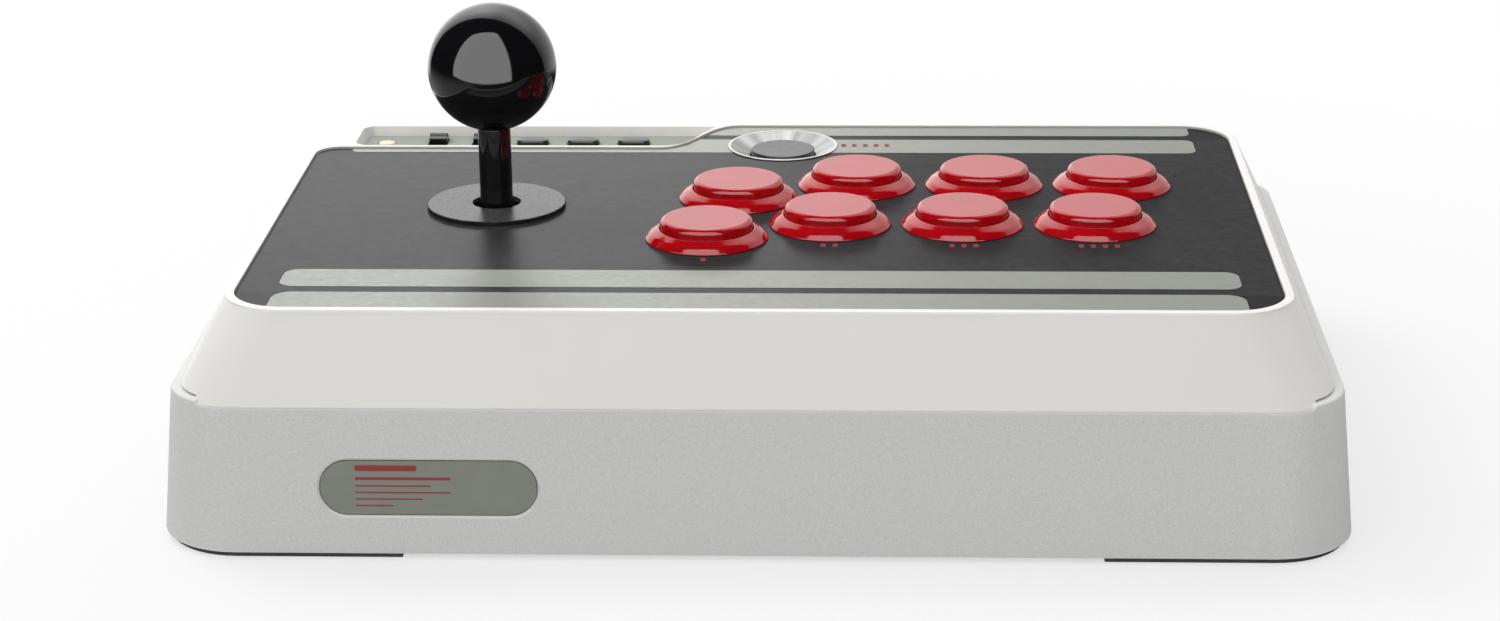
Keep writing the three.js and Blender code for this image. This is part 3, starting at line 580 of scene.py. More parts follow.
def circuit_board():
    """Green board; what stands above the board's face is black plastic."""
    finish = Finish("circuit_board_lacquer", (0.012, 0.085, 0.035), 0.35)
    board_top = (box_mm("main_board")[0].z + BOARD_THICKNESS + 0.05) * MM
    part = finish.maths("GREATER_THAN", finish.parts(finish.place)["Z"], board_top)
    patches = finish.spread(finish.noise(2.0, 3))
    lacquer = finish.mix(patches, finish.tint(0.8), finish.tint(1.25))
    finish.paint(finish.mix(part, lacquer, (0.012, 0.012, 0.013)))
    finish.vary_roughness(0.3, 0.45, 3)
    finish.grain(1.5, 0.01)
    return finish


def lens_plastic():
    """Milky lens, warmer towards its edge."""
    finish = Finish("milky_lens_plastic", (0.9, 0.76, 0.58), 0.2)
    finish.vary_colour(0.1, 1.5)
    finish.vary_roughness(0.12, 0.3, 1)
    finish.grain(1.0, 0.01)
    finish.set("Subsurface Weight", 0.3)
    finish.set("Subsurface Radius", (0.002, 0.001, 0.0006))
    return finish


SHELL = shell_plastic()
SILVER = silver_plastic()
PANEL = panel_plastic()
BAND_INK = print_ink("grey_green_ink", (0.255, 0.267, 0.233))
MARK_INK = print_ink("dull_red_ink", (0.26, 0.05, 0.05))
PLATE_PAINT = print_ink("grey_green_paint", (0.235, 0.246, 0.212))
POCKET_PAINT = print_ink("pocket_floor_paint", (0.36, 0.375, 0.33))
RED = gloss_plastic("red_button_plastic", (0.50, 0.002, 0.007), 0.085)
GLOSS_BLACK = gloss_plastic("gloss_black_plastic", (0.006, 0.006, 0.007), 0.06)
CONTROL_BLACK = gloss_plastic("black_control_plastic", (0.009, 0.009, 0.01), 0.16)
CAP_GREY = cap_plastic()
BLACK = matt_plastic("black_inner_plastic", (0.02, 0.02, 0.022))
NATURAL = matt_plastic("natural_nylon", (0.7, 0.68, 0.6), 0.45)
RUBBER = matt_plastic("foot_rubber", (0.018, 0.018, 0.018), 0.8, 0.7, 0.03)
WASHER = washer_plastic()
DISH = turned_metal()
STEEL = steel()
BOARD = circuit_board()
LENS = lens_plastic()
WRAP = matt_plastic("battery_wrap", (0.25, 0.27, 0.3), 0.4)


# ---- Case ----


def step_angle(centre_x, radius):
    """How far round a front corner the lowered edge reaches, in degrees from the front."""
    return math.degrees(math.asin((STEP_X - centre_x) / radius))


def corner_angles(quarter, step):
    """Angles round one corner, with more of them at the step in the front corners."""
    angles = [quarter * 90 + 90 * i / CORNER_STEPS for i in range(CORNER_STEPS + 1)]
    for turn in (-1, -0.33, 0.33, 1):
        for side in (-1, 1):
            angle = 270 + side * (step + turn * STEP_SPREAD)
            if quarter * 90 < angle < quarter * 90 + 90:
                angles.append(angle)
    return sorted(angles)


def lowered(angle, step):
    """1 along the lowered front edge and 0 elsewhere."""
    share = (step + STEP_SPREAD - abs(angle - 270)) / (2 * STEP_SPREAD)
    share = min(1, max(0, share))
    return share * share * (3 - 2 * share)


REAR_EDGE = CORNER_STEPS + 1
FRONT_EDGE = 3 * CORNER_STEPS + 9
BASE_STEP = step_angle(BASE_HIGH.x - BASE_CORNER, BASE_CORNER - DRAFT)
SHELL_STEP = step_angle(SHELL_HIGH.x - FOOT_CORNER, FOOT_CORNER)


def case_ring(edges, inset, z, drop, push, step):
    """A rounded rectangle whose front part lies lower by drop and further out by push. Its edges
    are left, front, right, rear and the corners' radius, before the inset."""
    signs = (1, 1, -1, -1, -1)
    left, front, right, rear, radius = (edge + sign * inset for edge, sign in zip(edges, signs))
    rear_splits = [(x, rear, z) for x in REAR_SPLITS]
    front_splits = [(x, front - push, z - drop) for x in FRONT_SPLITS]
    splits = (rear_splits, [], front_splits, [])
    points = []
    for quarter, (x, y) in enumerate(corner_centres(left, front, right, rear, radius)):
        for angle in corner_angles(quarter, step):
            share = lowered(angle, step)
            reach = radius + push * share
            across = x + reach * math.cos(math.radians(angle))
            along = y + reach * math.sin(math.radians(angle))
            points.append((across, along, z - drop * share))
        points.extend(splits[quarter])
    return points


def base_ring(inset, z, drop):
    edges = (BASE_LOW.x, BASE_LOW.y, BASE_HIGH.x, BASE_HIGH.y, BASE_CORNER)
    push = drop * DRAFT / (LEDGE_Z - BASE_LOW.z)
    return case_ring(edges, inset, z, drop, push, BASE_STEP)


def shell_ring(share, inset, z, drop):
    """A ring between the upper shell's foot (share 0) and its rim (share 1)."""
    edge = PANEL_HIGH.x + 2.6
    rim = (-edge, PANEL_LOW.y - 2.9, edge, PANEL_HIGH.y + 2.4, RIM_CORNER)
    lip_y = BASE_LOW.y + DRAFT + LIP
    run = STEP_HEIGHT / (DECK_Z - LEDGE_Z + STEP_HEIGHT)
    front = lip_y + (rim[1] - lip_y) * run
    foot = (SHELL_LOW.x, front, SHELL_HIGH.x, SHELL_HIGH.y, FOOT_CORNER)
    edges = [a + (b - a) * share for a, b in zip(foot, rim)]
    push = (foot[1] - lip_y) * drop / STEP_HEIGHT
    return case_ring(edges, inset, z, drop, push, SHELL_STEP)


def on_front_wall(x, z):
    """A frame on the leaning front wall: X to the right, Y up the wall, Z out of it."""
    lean = math.atan2(DRAFT, LEDGE_Z - BASE_LOW.z)
    y = BASE_LOW.y + DRAFT * (z - BASE_LOW.z) / (LEDGE_Z - BASE_LOW.z)
    return Matrix.Translation(Vector((x, y, z))) @ Matrix.Rotation(math.pi / 2 - lean, 4, "X")


def nameplate_frame():
    """The nameplate's place on the front wall, its length and its width."""
    low, high = box_mm("nameplate")
    centre = (low + high) / 2
    return on_front_wall(centre.x, centre.z), high.x - low.x, high.z - low.z


def base_shell():
    skin = Skin()
    height = LEDGE_Z - BASE_LOW.z
    lower = softened([
        (WALL, BASE_LOW.z, 0, 0), (0, BASE_LOW.z, 0, 0.9),
        (DRAFT * LOW_GUARD, BASE_LOW.z + height * LOW_GUARD, 0, 0),
    ], 6)
    upper = softened([
        (DRAFT * HIGH_GUARD, BASE_LOW.z + height * HIGH_GUARD, STEP_HEIGHT * HIGH_GUARD, 0),
        (DRAFT, LEDGE_Z, STEP_HEIGHT, LIP), (DRAFT + FLANGE, LEDGE_Z, STEP_HEIGHT, 0),
        (DRAFT + FLANGE, LEDGE_Z - WALL, 0, 0), (DRAFT + WALL, LEDGE_Z - WALL, 0, 0),
    ], 6)
    rings = [skin.ring(base_ring(*point)) for point in lower + upper]
    skin.chain(rings[:len(lower)])
    skin.chain(rings[len(lower):])
    skin.bridge(rings[-1], rings[0])
    low, high = rings[len(lower) - 1], rings[len(lower)]
    skin.bridge(low, high, skip=FRONT_EDGE)
    face = [low[FRONT_EDGE], low[FRONT_EDGE + 1], high[FRONT_EDGE + 1], high[FRONT_EDGE]]
    skin.plate(face, nameplate_recess(skin))
    piece("base_shell_skin", skin, SILVER, "base_shell")


def nameplate_recess(skin):
    """The sunken seat of the nameplate. Gives the ring where it meets the wall."""
    place, length, width = nameplate_frame()
    path = softened([(1.8, 0, 0), (0.6, 0, 0.12), (0, -0.45, 0.12), (0, -1.25, 0.2), (-1.2, -1.25, 0)])
    rings = []
    for inset, depth in path:
        outline = stadium(length + 0.6, width + 0.6, inset=-inset)
        rings.append(skin.ring(place @ Vector((x, y, depth)) for x, y in outline))
    skin.chain(rings)
    skin.plate(rings[-1])
    return rings[0]


def top_shell():
    skin = Skin()
    foot_z = LEDGE_Z + SHELL_GAP
    drop = STEP_HEIGHT + SHELL_GAP - FRONT_GAP
    crease_z = DECK_Z - BEAD_HEIGHT
    rise = crease_z - foot_z
    outer = softened([
        (0, WALL, foot_z, drop, 0), (0, 0, foot_z, drop, 0.06),
        (0.08, 0, foot_z + 0.08 * rise, 0.92 * drop, 0),
        (0.93, 0, foot_z + 0.93 * rise, 0.07 * drop, 0), (1, 0, crease_z, 0, 0.2),
        (1, 0.05, DECK_Z, 0, 0.3), (1, 1.3, DECK_Z, 0, 0),
    ], 5)
    ceiling = (UNDERSIDE_SHARE, WALL + 1.9, SHELL_UNDERSIDE_Z, 0)
    rings = [skin.ring(shell_ring(*point)) for point in outer]
    inner = skin.ring(shell_ring(*ceiling))
    slope = 7  # the number of the ring below the long sloping stretch
    for number, (low, high) in enumerate(zip(rings, rings[1:])):
        skin.bridge(low, high, REAR_EDGE if number == slope else None)
    skin.bridge(inner, rings[0], REAR_EDGE)
    socket_port(skin, (rings[slope], rings[slope + 1]), (rings[0], inner))
    seat_z = PANEL_LOW.z - 0.1
    seat = [(-0.25, DECK_Z, 0.2), (-0.25, seat_z, 0), (SEAT_WIDTH, seat_z, 0)]
    pocket = [(0, DECK_Z, 0.22), (POCKET["slope"], FUNCTION_Z, 0)]
    panel_top, panel_low = opening(skin, panel_outline, seat)
    pocket_top, pocket_low = opening(skin, pocket_outline, pocket)
    skin.plate(rings[-1], panel_top, pocket_top)
    skin.plate(inner, panel_low, pocket_low)
    piece("top_shell_skin", skin, SHELL, "top_shell")


def opening(skin, outline_at, path):
    """A hole from the top shell's deck down to its underside. Gives its first and last ring."""
    deck, underside = (-1.0, DECK_Z, 0), (path[-1][0], SHELL_UNDERSIDE_Z, 0)
    rings = skin.wall(outline_at, softened([deck, *path, underside])[1:])
    return rings[0], rings[-1]


def socket_port(skin, outer, inner):
    """A rounded hole through the rear wall, for the socket on the main board."""
    left, right = SOCKET["x"] - SOCKET["half_width"], SOCKET["x"] + SOCKET["half_width"]
    outline = rounded_rectangle(left, SOCKET["low"], right, SOCKET["high"], SOCKET["corner"], 6)
    mouths = []
    for low, high in (outer, inner):
        corners = [low[REAR_EDGE], low[REAR_EDGE + 1], high[REAR_EDGE + 1], high[REAR_EDGE]]
        bottom, top = skin.points[corners[0]], skin.points[corners[2]]
        points = []
        for across, z in outline:
            share = (z - bottom.z) / (top.z - bottom.z)
            points.append((across, bottom.y + (top.y - bottom.y) * share, z))
        mouths.append(skin.ring(points))
        skin.plate(corners, mouths[-1])
    skin.bridge(*mouths)


def foot(name):
    """A rubber pad that follows its corner of the base."""
    low, high = box_mm(name)
    side = 1 if high.x > 0 else -1
    end = 1 if high.y > 0 else -1
    width, depth = high.x - low.x, high.y - low.y
    radius = BASE_CORNER - 1.6

    def outline(inset):
        outer = arc(width - radius, depth - radius, radius - inset, 0, 90)
        inner = [(inset, depth - inset), (inset, inset), (width - inset, inset)]
        return [(side * x, end * y) for x, y in outer + inner]

    path = softened([(1.2, low.z, 0), (0, low.z, 0.4), (0, high.z, 0.2), (1.2, high.z, 0)], 3)
    skin = slab(outline, path)
    start = Vector((low.x if side > 0 else high.x, low.y if end > 0 else high.y, 0))
    skin.points = [point + start for point in skin.points]
    piece(f"{name}_pad", skin, RUBBER, name)


# ---- Control panel and pocket ----


def panel_outline(inset):
    """The panel's edge: its rear left part steps forward, around the pocket."""
    left, front = PANEL_LOW.x + inset, PANEL_LOW.y + inset
    right, rear = PANEL_HIGH.x - inset, PANEL_HIGH.y - inset
    step, curve = PANEL_STEP_Y - inset, CURVE_X + inset
    corner, small = PANEL_CORNER - inset, PANEL_STEP_CORNER - inset
    start, end = (curve + CURVE_REACH, rear), (curve - CURVE_REACH, step)
    return (
        arc(right - corner, front + corner, corner, -90, 0)
        + arc(right - corner, rear - corner, corner, 0, 90)
        + [start]
        + bezier(start, (curve, rear), (curve, step), end)
        + arc(left + small, step - small, small, 90, 180)
        + arc(left + corner, front + corner, corner, 180, 270)
    )


def pocket_outline(inset):
    """The pocket's edge: its right end follows the S-shaped edge of the panel."""
    left, front = POCKET["left"] + inset, POCKET["front"] + inset
    rear, corner = POCKET["rear"] - inset, POCKET["corner"] - inset
    curve = CURVE_X - inset
    handle = curve - POCKET_BEAD
    start, end = (curve - CURVE_REACH, front), (curve + 2, rear - 4)
    turn, last = (curve + 4.5, rear), (curve, rear)
    return (
        [start]
        + bezier(start, (handle, front), (handle, (front + rear) / 2), end)
        + bezier(end, turn, turn, last, steps=8)
        + arc(left + corner, rear - corner, corner, 90, 180)
        + arc(left + corner, front + corner, corner, 180, 270)
    )


def control_panel():
    skin = Skin()
    path = softened([
        (1.0, PANEL_LOW.z, 0), (0.02, PANEL_LOW.z, 0), (0.02, PANEL_Z, 0.22), (1.0, PANEL_Z, 0),
    ])
    rings = skin.wall(panel_outline, path)
    centres = [middle(f"button_body_{row}_{column}") for row in ROWS for column in COLUMNS]
    sizes = [(place, BUTTON_HOLE) for place in centres]
    sizes += [(START, START_HOLE), (LEVER, LEVER_HOLE)]
    holes = [circle(place.x, place.y, radius) for place, radius in sizes]
    skin.pierced(rings[0], rings[-1], holes, PANEL_LOW.z, PANEL_Z)
    piece("control_panel_skin", skin, PANEL, "control_panel")


def printed_bands():
    """Four bands of ink on the control panel, trimmed to its edge and to the start button."""
    end, low, high = BAND_END, PANEL_Z - 1, PANEL_Z + 1
    outlines = (
        rounded_rectangle(-end, FRONT_BAND[0], end, FRONT_BAND[1], 4),
        rounded_rectangle(-end, PANEL_LOW.y - 5.4, end, NEAR_BAND_REAR, 5),
        rounded_rectangle(-60, REAR_BAND_FRONT, end - 1, PANEL_HIGH.y + 4, 3),
        narrow_band(),
    )
    for number, outline in enumerate(outlines, 1):
        band = block(outline, PANEL_Z, PANEL_Z + PRINT_HEIGHT)
        ink = piece(f"printed_band_{number}", band, BAND_INK)
        trim(ink, slab(panel_outline, [(PRINT_INSET, low), (PRINT_INSET, high)]), "INTERSECT")
        if number > 2:
            trim(ink, block(circle(START.x, START.y, START_HOLE), low, high))


def narrow_band():
    """A band that narrows to pass in front of the pocket."""
    left, right, turn = -BAND_END, BAND_END - 0.6, -60
    front, rear = NARROW_BAND
    return (
        arc(right - 3, front + 3, 3, 270, 360)
        + arc(right - 3, rear - 3, 3, 0, 90)
        + [(turn, rear), (turn, PANEL_STEP_Y + 2), (left, PANEL_STEP_Y + 2)]
        + arc(left + 2, front + 2, 2, 180, 270)
    )


def trim(item, skin, operation="DIFFERENCE"):
    """Cuts a piece with a drawn skin and keeps the result in its mesh."""
    cutter = added("cutter", mesh_of("cutter", skin))
    cut = item.modifiers.new("cut", "BOOLEAN")
    cut.operation = operation
    cut.object = cutter
    cut.solver = "EXACT"
    bpy.context.view_layer.objects.active = item
    bpy.ops.object.modifier_move_to_index(modifier="cut", index=0)
    bpy.ops.object.modifier_apply(modifier="cut")
    bpy.data.objects.remove(cutter)


def function_panel():
    skin = Skin()
    low, high = box_mm("function_panel")
    inset = POCKET["slope"] + 0.05
    edges = skin.wall(pocket_outline, [(inset, low.z), (inset, high.z)])
    holes = [slide_slot(number, 0) for number in (1, 2)]
    for number in (1, 2, 3):
        place = middle(f"function_button_{number}")
        holes.append(stadium(*FUNCTION_HOLE, place.x, place.y))
    lamp = middle("indicator_lens")
    holes.append(circle(lamp.x, lamp.y, LAMP_HOLE, 40))
    skin.pierced(*edges, holes, low.z, high.z)
    piece("function_panel_skin", skin, POCKET_PAINT, "function_panel")


def slide_slot(number, inset):
    """The outline of a slide switch's slot, from its knob at the slot's rear end."""
    low, high = box_mm(f"slide_switch_{number}")
    side, length = 0.25 - inset, 10.0
    rear = high.y + 0.2
    return rounded_rectangle(
        low.x - side, rear - length + inset, high.x + side, rear - inset, 0.4 - inset, 4
    )


def slide_switch(number):
    low, high = box_mm(f"slide_switch_{number}")
    centre = (low.y + high.y) / 2
    profile = softened([
        (low.y, low.z, 0), (low.y, high.z - 0.9, 0.3),
        (centre - 0.7, high.z - 0.6, 0.3), (centre - 0.5, high.z, 0.3),
        (centre + 0.5, high.z, 0.3), (centre + 0.7, high.z - 0.6, 0.3),
        (high.y, high.z - 0.9, 0.3), (high.y, low.z, 0),
    ])
    skin = Skin()
    rings = []
    for x, inset in ((low.x, 0.25), (low.x + 0.25, 0), (high.x - 0.25, 0), (high.x, 0.25)):
        rings.append(skin.ring((x, eased(y, centre, inset), z - inset) for y, z in profile))
    skin.chain(rings)
    skin.plate(rings[0])
    skin.plate(rings[-1])
    name = f"slide_switch_{number}"
    piece(f"{name}_knob", skin, CONTROL_BLACK, name, name)
    slide_frame(number)


def eased(value, centre, inset):
    """A value drawn in towards a centre by an inset."""
    return value - math.copysign(inset, value - centre) if abs(value - centre) > inset else value


def slide_frame(number):
    """The thin black lining of a slide switch's slot."""
    skin = Skin()
    outside, inside = slide_slot(number, 0.02), slide_slot(number, 0.12)
    low, high = box_mm("function_panel")[0].z - 0.6, FUNCTION_Z + 0.12
    corners = ((outside, low), (outside, high), (inside, high), (inside, low))
    skin.chain([skin.flat_ring(outline, z) for outline, z in corners], closed=True)
    piece(f"slide_frame_{number}", skin, BLACK)


def function_button(number):
    name = f"function_button_{number}"
    low, high = box_mm(name)
    place = (low + high) / 2
    length, width = high.x - low.x, high.y - low.y
    path = softened([
        (0, low.z, 0), (0, high.z - 0.55, 0.12), (0.3, high.z - 0.2, 0.15), (2.1, high.z, 0),
    ], 3)
    skin = slab(lambda inset: stadium(length, width, place.x, place.y, inset), path)
    piece(f"{name}_cap", skin, CONTROL_BLACK, name, name, sharp=50)


def indicator():
    place, radius, low, high = round_part("indicator_lens")
    profile = softened([
        (0, low, 0), (radius, low, 0), (radius, high - 0.35, 0.3),
        (radius * 0.6, high - 0.05, 0.8), (0, high, 0),
    ])
    skin = lathed(profile, place.x, place.y, segments=40)
    piece("indicator_dome", skin, LENS, "indicator_lens")


# ---- Nameplate and printed marks ----


def nameplate():
    place, length, width = nameplate_frame()
    path = softened([(0, -1.1, 0), (0, -PLATE_DEPTH, 0.15), (0.8, -PLATE_DEPTH, 0)])
    skin = slab(lambda inset: stadium(length, width + 0.2, inset=inset), path)
    skin.points = [place @ point for point in skin.points]
    piece("nameplate_skin", skin, PLATE_PAINT, "nameplate")
    plain_rules(place)


def plain_rules(place):
    """Plain printed rules on the nameplate, in place of any wording: (y, length, height)."""
    rules = ((5.0, 15.5, 1.5), (2.3, 24.0, 0.7), (0.4, 19.0, 0.35),
             (-1.3, 24.0, 0.35), (-3.0, 17.0, 0.35), (-4.7, 9.5, 0.35))
    left = -18.4
    for number, (y, length, height) in enumerate(rules, 1):
        outline = rounded_rectangle(left, y - height / 2, left + length, y + height / 2, height * 0.3, 3)
        skin = block(outline, -PLATE_DEPTH, -PLATE_DEPTH + 0.04)
        skin.points = [place @ point for point in skin.points]
        piece(f"nameplate_rule_{number}", skin, MARK_INK)


def button_marks():
    """Plain strokes in front of the front buttons and beside the start button."""
    for column in COLUMNS:
        place = middle(f"button_body_front_{column}")
        strokes(f"button_mark_{column}", place.x, place.y - 19.6, column)
    strokes("start_mark", START.x + 24.5, START.y + 0.4, 5)


def strokes(name, x, y, count):
    """A row of short upright strokes, as many as the button's number."""
    front, rear = y - MARK_HEIGHT / 2, y + MARK_HEIGHT / 2
    for number in range(count):
        left = x + (number - (count - 1) / 2) * MARK_PITCH - MARK_WIDTH / 2
        outline = rounded_rectangle(left, front, left + MARK_WIDTH, rear, 0.3, 3)
        skin = block(outline, PANEL_Z, PANEL_Z + PRINT_HEIGHT * 1.6)
        piece(f"{name}_{number + 1}", skin, MARK_INK)


# ---- Buttons ----


def push_button(row, column):
    name = f"{row}_{column}"
    node = f"button_body_{name}"
    place, rim, low, top = round_part(node)
    barrel, bore, floor, stem = 14.8, 12.85, 2.0, 3.0
    deck = PANEL_Z + DECK_CLEARANCE
    profile = softened([
        (stem, low, 0), (barrel, low, 0.6), (barrel, deck, 0), (rim, deck, 0.05),
        (rim, deck + 0.3, 0.15), (rim - 1.3, deck + 1.7, 0.7), (bore + 0.35, top, 0.25),
        (bore, top - 0.1, 0.1), (bore, low + floor, 0), (stem, low + floor, 0),
    ], 6, closed=True)
    skin = lathed(profile, place.x, place.y, closed=True)
    piece(f"{node}_skin", skin, RED, node)
    plunger(name)


def plunger(name):
    node = f"button_plunger_{name}"
    place, radius, low, high = round_part(node)
    stem, skirt = 2.4, PANEL_Z - 5
    profile = softened([
        (0, low, 0), (stem, low, 0.3), (stem, skirt, 0), (radius, skirt, 0.2),
        (radius, high - 0.95, 0.35), (radius - 0.45, high - 0.4, 0.25),
        (radius - 1.15, high, 0.2), (radius - 1.8, high, 0), (0, high - 0.02, 0),
    ], 6)
    skin = lathed(profile, place.x, place.y)
    piece(f"{node}_skin", skin, RED, node, f"plunger_{name}")


def start_button():
    place, rim, low, high = round_part("start_bezel")
    cap = round_part("start_cap")[1]
    deck, dish_z = PANEL_Z + DECK_CLEARANCE, PANEL_Z - 2.6
    barrel, bore, floor, stem = 15.2, cap + 0.35, 1.5, 2.5
    profile = softened([
        (stem, low, 0), (barrel, low, 0.4), (barrel, deck, 0), (rim, deck, 0.05),
        (rim, high, 0.15), (rim - 0.7, high, 0.15), (bore, dish_z, 0.15),
        (bore, low + floor, 0), (stem, low + floor, 0),
    ], 5, closed=True)
    turned("start_bezel", profile, place, DISH, closed=True)
    rim_highlight_ring(high, rim)


def start_cap():
    place, radius, low, high = round_part("start_cap")
    stem, skirt = 2.0, PANEL_Z - 6
    profile = softened([
        (0, low, 0), (stem, low, 0), (stem, skirt, 0), (radius, skirt, 0),
        (radius, high, 0.5), (0, high - 0.15, 0),
    ], 5)
    turned("start_cap", profile, place, CAP_GREY, "start_cap")


def rim_highlight_ring(top, outer):
    """A thin pale ring along the rim of the start button's dish: a painted highlight for the light
    caught by its polished rim.
    """
    profile = softened([
        (outer - 0.72, top - 0.1, 0), (outer, top - 0.2, 0.05),
        (outer - 0.05, top + 0.08, 0.08), (outer - 0.7, top + 0.08, 0.08),
    ], 4, closed=True)
    skin = lathed(profile, START.x, START.y, True, FINE_SEGMENTS)
    # Painted highlight: a pale ivory ring stands for the shine along the dish's polished rim.
    piece("start_rim_highlight_ring", skin, SHELL)


def turned(node, profile, place, finish, body="case", closed=False):
    """A turned piece whose object stands on its own axis, so that its finish can follow it."""
    skin = lathed(profile, closed=closed, segments=FINE_SEGMENTS)
    axis = Matrix.Translation(Vector((place.x, place.y, 0)) * MM)
    piece(f"{node}_skin", skin, finish, node, body, axis)


# ---- Lever ----


def ball_top():
    place, _, _, top = round_part("ball_top")
    centre = top - BALL_RADIUS
    flat = 5.0
    bore_z = box_mm("stick_shaft")[1].z + 0.2
    flat_z = centre - math.sqrt(BALL_RADIUS ** 2 - flat ** 2)
    start = math.degrees(math.asin(flat / BALL_RADIUS))
    bowl = [(r, centre - z) for z, r in arc(0, 0, BALL_RADIUS, start, 180, 60)]
    bowl[-1] = (0, top)
    profile = [(0, bore_z), (SHAFT_BORE, bore_z), (SHAFT_BORE, flat_z)] + bowl
    turned("ball_top", profile, place, GLOSS_BLACK, "lever")


def shaft_cover():
    place, radius, low, high = round_part("shaft_cover")
    profile = softened([
        (SHAFT_BORE, low, 0), (radius, low, 0.3), (radius, high, 0.15), (SHAFT_BORE, high, 0),
    ], closed=True)
    turned("shaft_cover", profile, place, GLOSS_BLACK, "lever", True)


def dust_washer():
    place, outer, low, high = round_part("dust_washer")
    inner = 6.7
    profile = softened([
        (inner, low, 0), (outer, low, 0.1), (outer, high, 0.25), (outer - 0.6, high, 0),
        (inner + 0.6, high, 0), (inner, high, 0.25),
    ], 5, closed=True)
    turned("dust_washer", profile, place, WASHER, closed=True)


# ---- CAD nodes that stay ----

KEPT = (
    (BLACK, ("bottom_plate", "start_switch", "lever_housing", "restrictor_gate", "button_switch")),
    (STEEL, ("stick_shaft", "mounting_plate", "centring_spring", "case_screw")),
    (NATURAL, ("pivot_bushing", "actuator")),
    (BOARD, ("main_board", "stick_switch_board")),
    (WRAP, ("battery_pack",)),
)


def finish_kept_nodes():
    for name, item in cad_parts.items():
        for finish, starts in KEPT:
            if name.startswith(starts):
                item.data.materials.clear()
                item.data.materials.append(finish.material)


# ---- Studio ----


class Sky(Nodes):
    """The studio's surroundings, as a pattern over directions."""

    def __init__(self):
        world = bpy.data.worlds.new("studio")
        world.use_nodes = True
        bpy.context.scene.world = world
        super().__init__(world.node_tree)
        self.x, self.y, self.z = self.parts(self.node("ShaderNodeTexCoord").outputs["Generated"])
        self.azimuth = self.degrees(self.maths("ARCTAN2", self.x, self.y))
        self.elevation = self.degrees(self.maths("ARCSINE", self.z))

    def degrees(self, value):
        return self.times(value, 180 / math.pi)

    def step(self, value, start, end, low=0.0, high=1.0):
        """Smoothly from low at start to high at end."""
        return self.spread(value, low, high, start, end, smooth=True)

    def beyond(self, value, limit):
        """How far a value lies past a limit."""
        return self.maths("MAXIMUM", self.maths("SUBTRACT", value, limit), 0)

    def choose(self, kind_of_ray, other, chosen):
        """One brightness for a kind of ray, and another for the rest."""
        made = self.node("ShaderNodeMix", A=other, B=chosen)
        self.link(self.node("ShaderNodeLightPath").outputs[kind_of_ray], made.inputs["Factor"])
        return made.outputs["Result"]


def softbox(sky):
    """A tall bright panel behind the player, with round upper corners."""
    half_width, height, corner, to_the_left = 0.86, 3.8, 0.75, 0.69
    toward = sky.maths("MAXIMUM", sky.times(sky.y, -1), 0.001)
    across = sky.plus(sky.maths("DIVIDE", sky.x, toward), to_the_left)
    up = sky.maths("DIVIDE", sky.z, toward)
    beside = sky.beyond(sky.maths("ABSOLUTE", across), half_width)
    over = sky.beyond(up, height)
    squares = sky.plus(sky.times(beside, beside), sky.times(over, over))
    inside = sky.step(sky.maths("SQRT", squares), corner, corner - 0.1)
    above = sky.times(sky.step(up, -0.34, -0.28), sky.step(sky.y, 0.0, -0.02))
    return sky.times(inside, above)


def backdrop(sky):
    """The pale wall behind the object: a wide round patch, brighter higher up."""
    middle_x, middle_y, middle_z = 0.178, 0.96, 0.219
    facing = sky.plus(sky.times(sky.x, middle_x), sky.times(sky.y, middle_y))
    facing = sky.plus(facing, sky.times(sky.z, middle_z))
    shape = sky.times(sky.step(facing, 0.49, 0.54), sky.step(sky.z, -0.3, -0.2))
    fade = sky.step(facing, 0.5, 0.8, 0.55, 1.0)
    low = sky.step(sky.azimuth, -15, 15, 1.85, 0.9)
    shine = sky.plus(low, sky.step(sky.elevation, 20, 50, 0, 1.1))
    return sky.times(sky.times(shape, fade), shine)


def build_sky():
    """What the camera sees is plain white, what surfaces mirror is the studio, and what lights
    them is a soft fill."""
    sky = Sky()
    ground = sky.times(sky.step(sky.z, -0.1, -0.4), sky.step(sky.x, -0.3, -0.6, 0.05, 0.5))
    mirrored = sky.plus(sky.plus(sky.times(softbox(sky), 4.0), backdrop(sky)), ground)
    lift = sky.step(sky.z, -0.3, 1.0, 0.3, 0.95)
    left = sky.step(sky.x, 0.9, -0.9, 0.88, 1.27)
    right_edge = sky.step(sky.x, 1.0, 0.8, 0.3, 1.0)
    front = sky.step(sky.y, 0.9, -0.9, 0.95, 0.9)
    fill = sky.times(sky.times(lift, sky.times(left, right_edge)), front)
    light = sky.choose("Is Camera Ray", sky.choose("Is Glossy Ray", fill, mirrored), 1.0)
    background = sky.tree.nodes["Background"]
    sky.feed(background.inputs["Strength"], light)
    sky.feed(background.inputs["Color"], (1, 1, 1, 1))


def area_light(name, place, size, power, target=(0, 0, 0.04)):
    data = bpy.data.lights.new(name, "AREA")
    data.shape = "RECTANGLE"
    data.size, data.size_y = size
    data.energy = power
    lamp = added(name, data)
    lamp.location = place
    lamp.rotation_euler = (Vector(target) - Vector(place)).to_track_quat("-Z", "Y").to_euler()
    return lamp


def floor():
    """A pale floor, plain white some way off from the object."""
    size = 8.0
    mesh = bpy.data.meshes.new("floor")
    corners = [(-size, -size, 0), (size, -size, 0), (size, size, 0), (-size, size, 0)]
    mesh.from_pydata(corners, [], [(0, 1, 2, 3)])
    ground = added("floor", mesh)
    finish = Finish("pale_floor", (0.9, 0.9, 0.9), 0.7, specular=0.1)
    far = finish.spread(finish.length(finish.place), 0.6, 1, 0.17, 0.42)
    glow = finish.node("ShaderNodeEmission", Color=(1, 1, 1, 1), Strength=1.0)
    blend = finish.node("ShaderNodeMixShader", Fac=far)
    finish.link(finish.shader.outputs["BSDF"], blend.inputs[1])
    finish.link(glow.outputs["Emission"], blend.inputs[2])
    finish.link(blend.outputs["Shader"], finish.tree.nodes["Material Output"].inputs["Surface"])
    ground.data.materials.append(finish.material)
    ground.visible_glossy = False


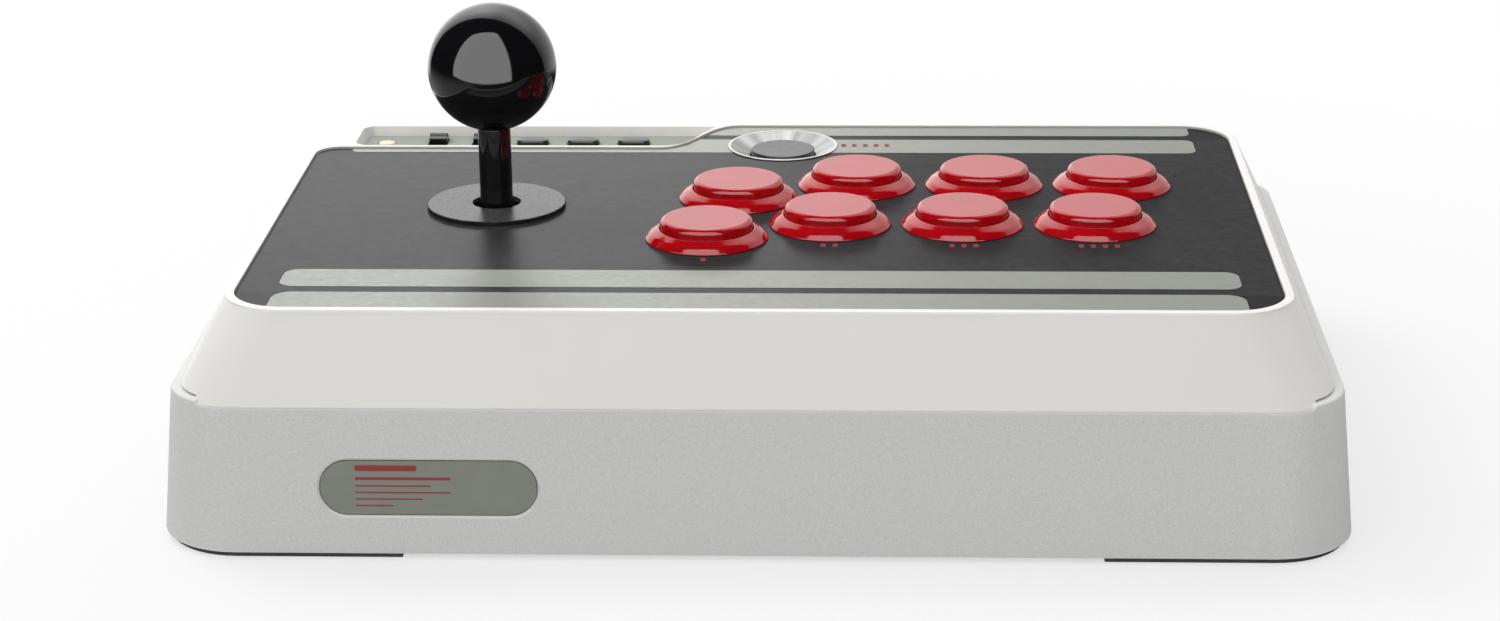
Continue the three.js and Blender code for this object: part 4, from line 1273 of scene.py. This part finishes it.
def camera():
    """The view from the player's side: yaw is turned left, pitch down, roll clockwise."""
    yaw, pitch, roll = (math.radians(angle) for angle in (2.388, 18.773, 0.543))
    data = bpy.data.cameras.new("camera")
    data.sensor_width = 36
    data.lens = 78.462
    view = added("camera", data)
    turn = Matrix.Rotation(yaw, 4, "Z")
    tilt = Matrix.Rotation(math.pi / 2 - pitch, 4, "X")
    lean = Matrix.Rotation(-roll, 4, "Z")
    place = Matrix.Translation((0.031479, -0.857852, 0.322642))
    view.matrix_world = place @ turn @ tilt @ lean
    bpy.context.scene.camera = view


def only_for(lamp, names):
    """Keeps a light to the named pieces."""
    takers = bpy.data.collections.new(f"{lamp.name}_takers")
    for name in names:
        takers.objects.link(bpy.data.objects[name])
    lamp.light_linking.receiver_collection = takers


def panel_sheen():
    """A light low behind the object that only the panel, its print and the washer take."""
    lamp = area_light("panel_sheen", (-0.28, 1.5, 0.54), (0.55, 0.3), 8.3)
    bands = [f"printed_band_{number}" for number in (1, 2, 3, 4)]
    only_for(lamp, ["control_panel_skin", "dust_washer_skin", *bands])


def dish_light():
    """A light over the start button that only its metal dish takes."""
    lamp = area_light("dish_light", (0.0, 0.3, 1.2), (0.35, 0.35), 2.2, (0, 0.078, 0.05))
    only_for(lamp, ["start_bezel_skin"])


def studio():
    view = bpy.context.scene.view_settings
    view.view_transform = "Standard"
    view.look = "None"
    build_sky()
    key = area_light("key_back_left", (-0.75, 0.55, 0.95), (0.7, 0.5), 5.0)
    key.visible_glossy = False
    panel_sheen()
    dish_light()
    floor()
    camera()


# ---- Assembly ----

base_shell()
top_shell()
for end in ROWS:
    for side in ("left", "right"):
        foot(f"foot_{end}_{side}")
control_panel()
printed_bands()
function_panel()
for switch in (1, 2):
    slide_switch(switch)
for button in (1, 2, 3):
    function_button(button)
indicator()
nameplate()
button_marks()
for row_name in ROWS:
    for column_number in COLUMNS:
        push_button(row_name, column_number)
start_button()
start_cap()
ball_top()
shaft_cover()
dust_washer()
finish_kept_nodes()
studio()
